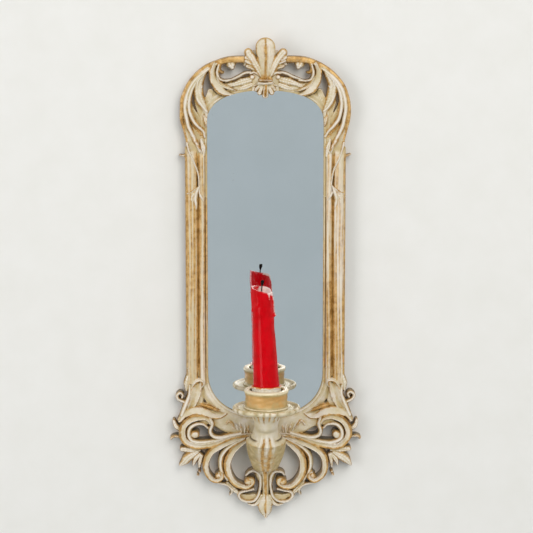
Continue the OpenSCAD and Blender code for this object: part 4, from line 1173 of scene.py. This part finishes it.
def plane(name, corners, material):
    mesh = bpy.data.meshes.new(name)
    mesh.from_pydata(corners, [], [range(4)])
    mesh.materials.append(material)
    ob = bpy.data.objects.new(name, mesh)
    bpy.context.scene.collection.objects.link(ob)
    ob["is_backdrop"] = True


def wall_finish():
    """Plain plaster, open to sight and to light from behind so that the back can be seen."""
    f = Finish("stage_wall", roughness=0.9)
    plaster = f.noise(30, 3)
    f.wear(**{"Base Color": f.ramp(plaster, (0.3, srgb(228, 226, 220)), (0.7, srgb(231, 229, 224)))})
    clear = f.add("ShaderNodeBsdfTransparent").outputs["BSDF"]
    behind = f.math("MAXIMUM", f.add("ShaderNodeNewGeometry").outputs["Backfacing"],
                    f.add("ShaderNodeLightPath").outputs["Is Shadow Ray"])
    choose = f.add("ShaderNodeMixShader")
    f.join(behind, choose.inputs["Fac"])
    f.join(f.shader.outputs["BSDF"], choose.inputs[1])
    f.join(clear, choose.inputs[2])
    f.join(choose.outputs["Shader"], f.tree.nodes["Material Output"].inputs["Surface"])
    return f.material


def plain_finish(name, low, high):
    f = Finish(name, roughness=0.9)
    f.wear(**{"Base Color": f.ramp(f.noise(300, 2), (0.3, low), (0.7, high))})
    return f.material


def area_light(name, place, aim, size, power, colour=(1, 1, 1)):
    data = bpy.data.lights.new(name, "AREA")
    data.shape, data.size, data.size_y = "RECTANGLE", size[0], size[1]
    data.energy, data.color = power, colour
    ob = bpy.data.objects.new(name, data)
    bpy.context.scene.collection.objects.link(ob)
    ob.location = place
    ob.rotation_euler = (Vector(aim) - Vector(place)).to_track_quat("-Z", "Y").to_euler()
    ob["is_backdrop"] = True


def studio():
    """A pale wall and floor, a grey-blue card for the mirror to reflect, and soft light."""
    low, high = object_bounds()
    centre = (low + high) / 2
    wall_y, card_y, floor_z, side, card_side = 0.0015, -3.4, low.z - 2.2, 2, 2.4
    wall_top, card_top, floor_near, floor_far = 1.6, 1.4, -4, 2
    plane("stage_wall", [(-side, wall_y, floor_z), (side, wall_y, floor_z), (side, wall_y, wall_top),
                         (-side, wall_y, wall_top)], wall_finish())
    plane("stage_floor", [(-side, floor_near, floor_z), (side, floor_near, floor_z),
                          (side, floor_far, floor_z), (-side, floor_far, floor_z)],
          plain_finish("stage_floor", srgb(222, 222, 217), srgb(228, 228, 223)))
    plane("stage_card", [(-card_side, card_y, floor_z), (-card_side, card_y, card_top),
                         (card_side, card_y, card_top), (card_side, card_y, floor_z)],
          plain_finish("stage_card", srgb(209, 221, 227), srgb(213, 224, 229)))
    area_light("key", (0.5, -1.9, 0.65), centre, (1.0, 1.2), 21, (1.0, 0.99, 0.97))
    area_light("fill", (-1.3, -1.5, 0.0), centre, (0.8, 1.4), 9, (0.98, 0.985, 1.0))
    area_light("back", (0.0, 1.4, 0.2), centre, (1.6, 1.6), 12)
    world = bpy.data.worlds.new("studio")
    world.use_nodes = True
    world.node_tree.nodes["Background"].inputs["Color"].default_value = (0.98, 0.98, 1.0, 1)
    world.node_tree.nodes["Background"].inputs["Strength"].default_value = 0.6
    bpy.context.scene.world = world
    bpy.context.scene.view_settings.view_transform = "Standard"


def camera():
    """Just above the middle of the mirror, level enough to see into the tray."""
    low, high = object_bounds()
    aim = Vector((0.0009, -0.012, (low.z + high.z) / 2 + 0.0141))
    data = bpy.data.cameras.new("camera")
    data.sensor_width = 36
    distance, elevation, azimuth = 1.6, math.radians(8), math.radians(-1)
    seen_width = 0.461
    data.lens = data.sensor_width * distance / seen_width
    ob = bpy.data.objects.new("camera", data)
    bpy.context.scene.collection.objects.link(ob)
    ob.location = aim + distance * Vector((math.sin(azimuth) * math.cos(elevation),
                                           -math.cos(azimuth) * math.cos(elevation), math.sin(elevation)))
    ob.rotation_euler = (aim - ob.location).to_track_quat("-Z", "Y").to_euler()
    bpy.context.scene.camera = ob


crown()
stile(-1, "left")
stile(1, "right")
apron()
crest_palmette()
husk(-1, "left")
husk(1, "right")
bracket()
drip_tray()
candle_cup()
candle_sleeve()
candle()
candle_wick()
carried_over()
studio()
camera()
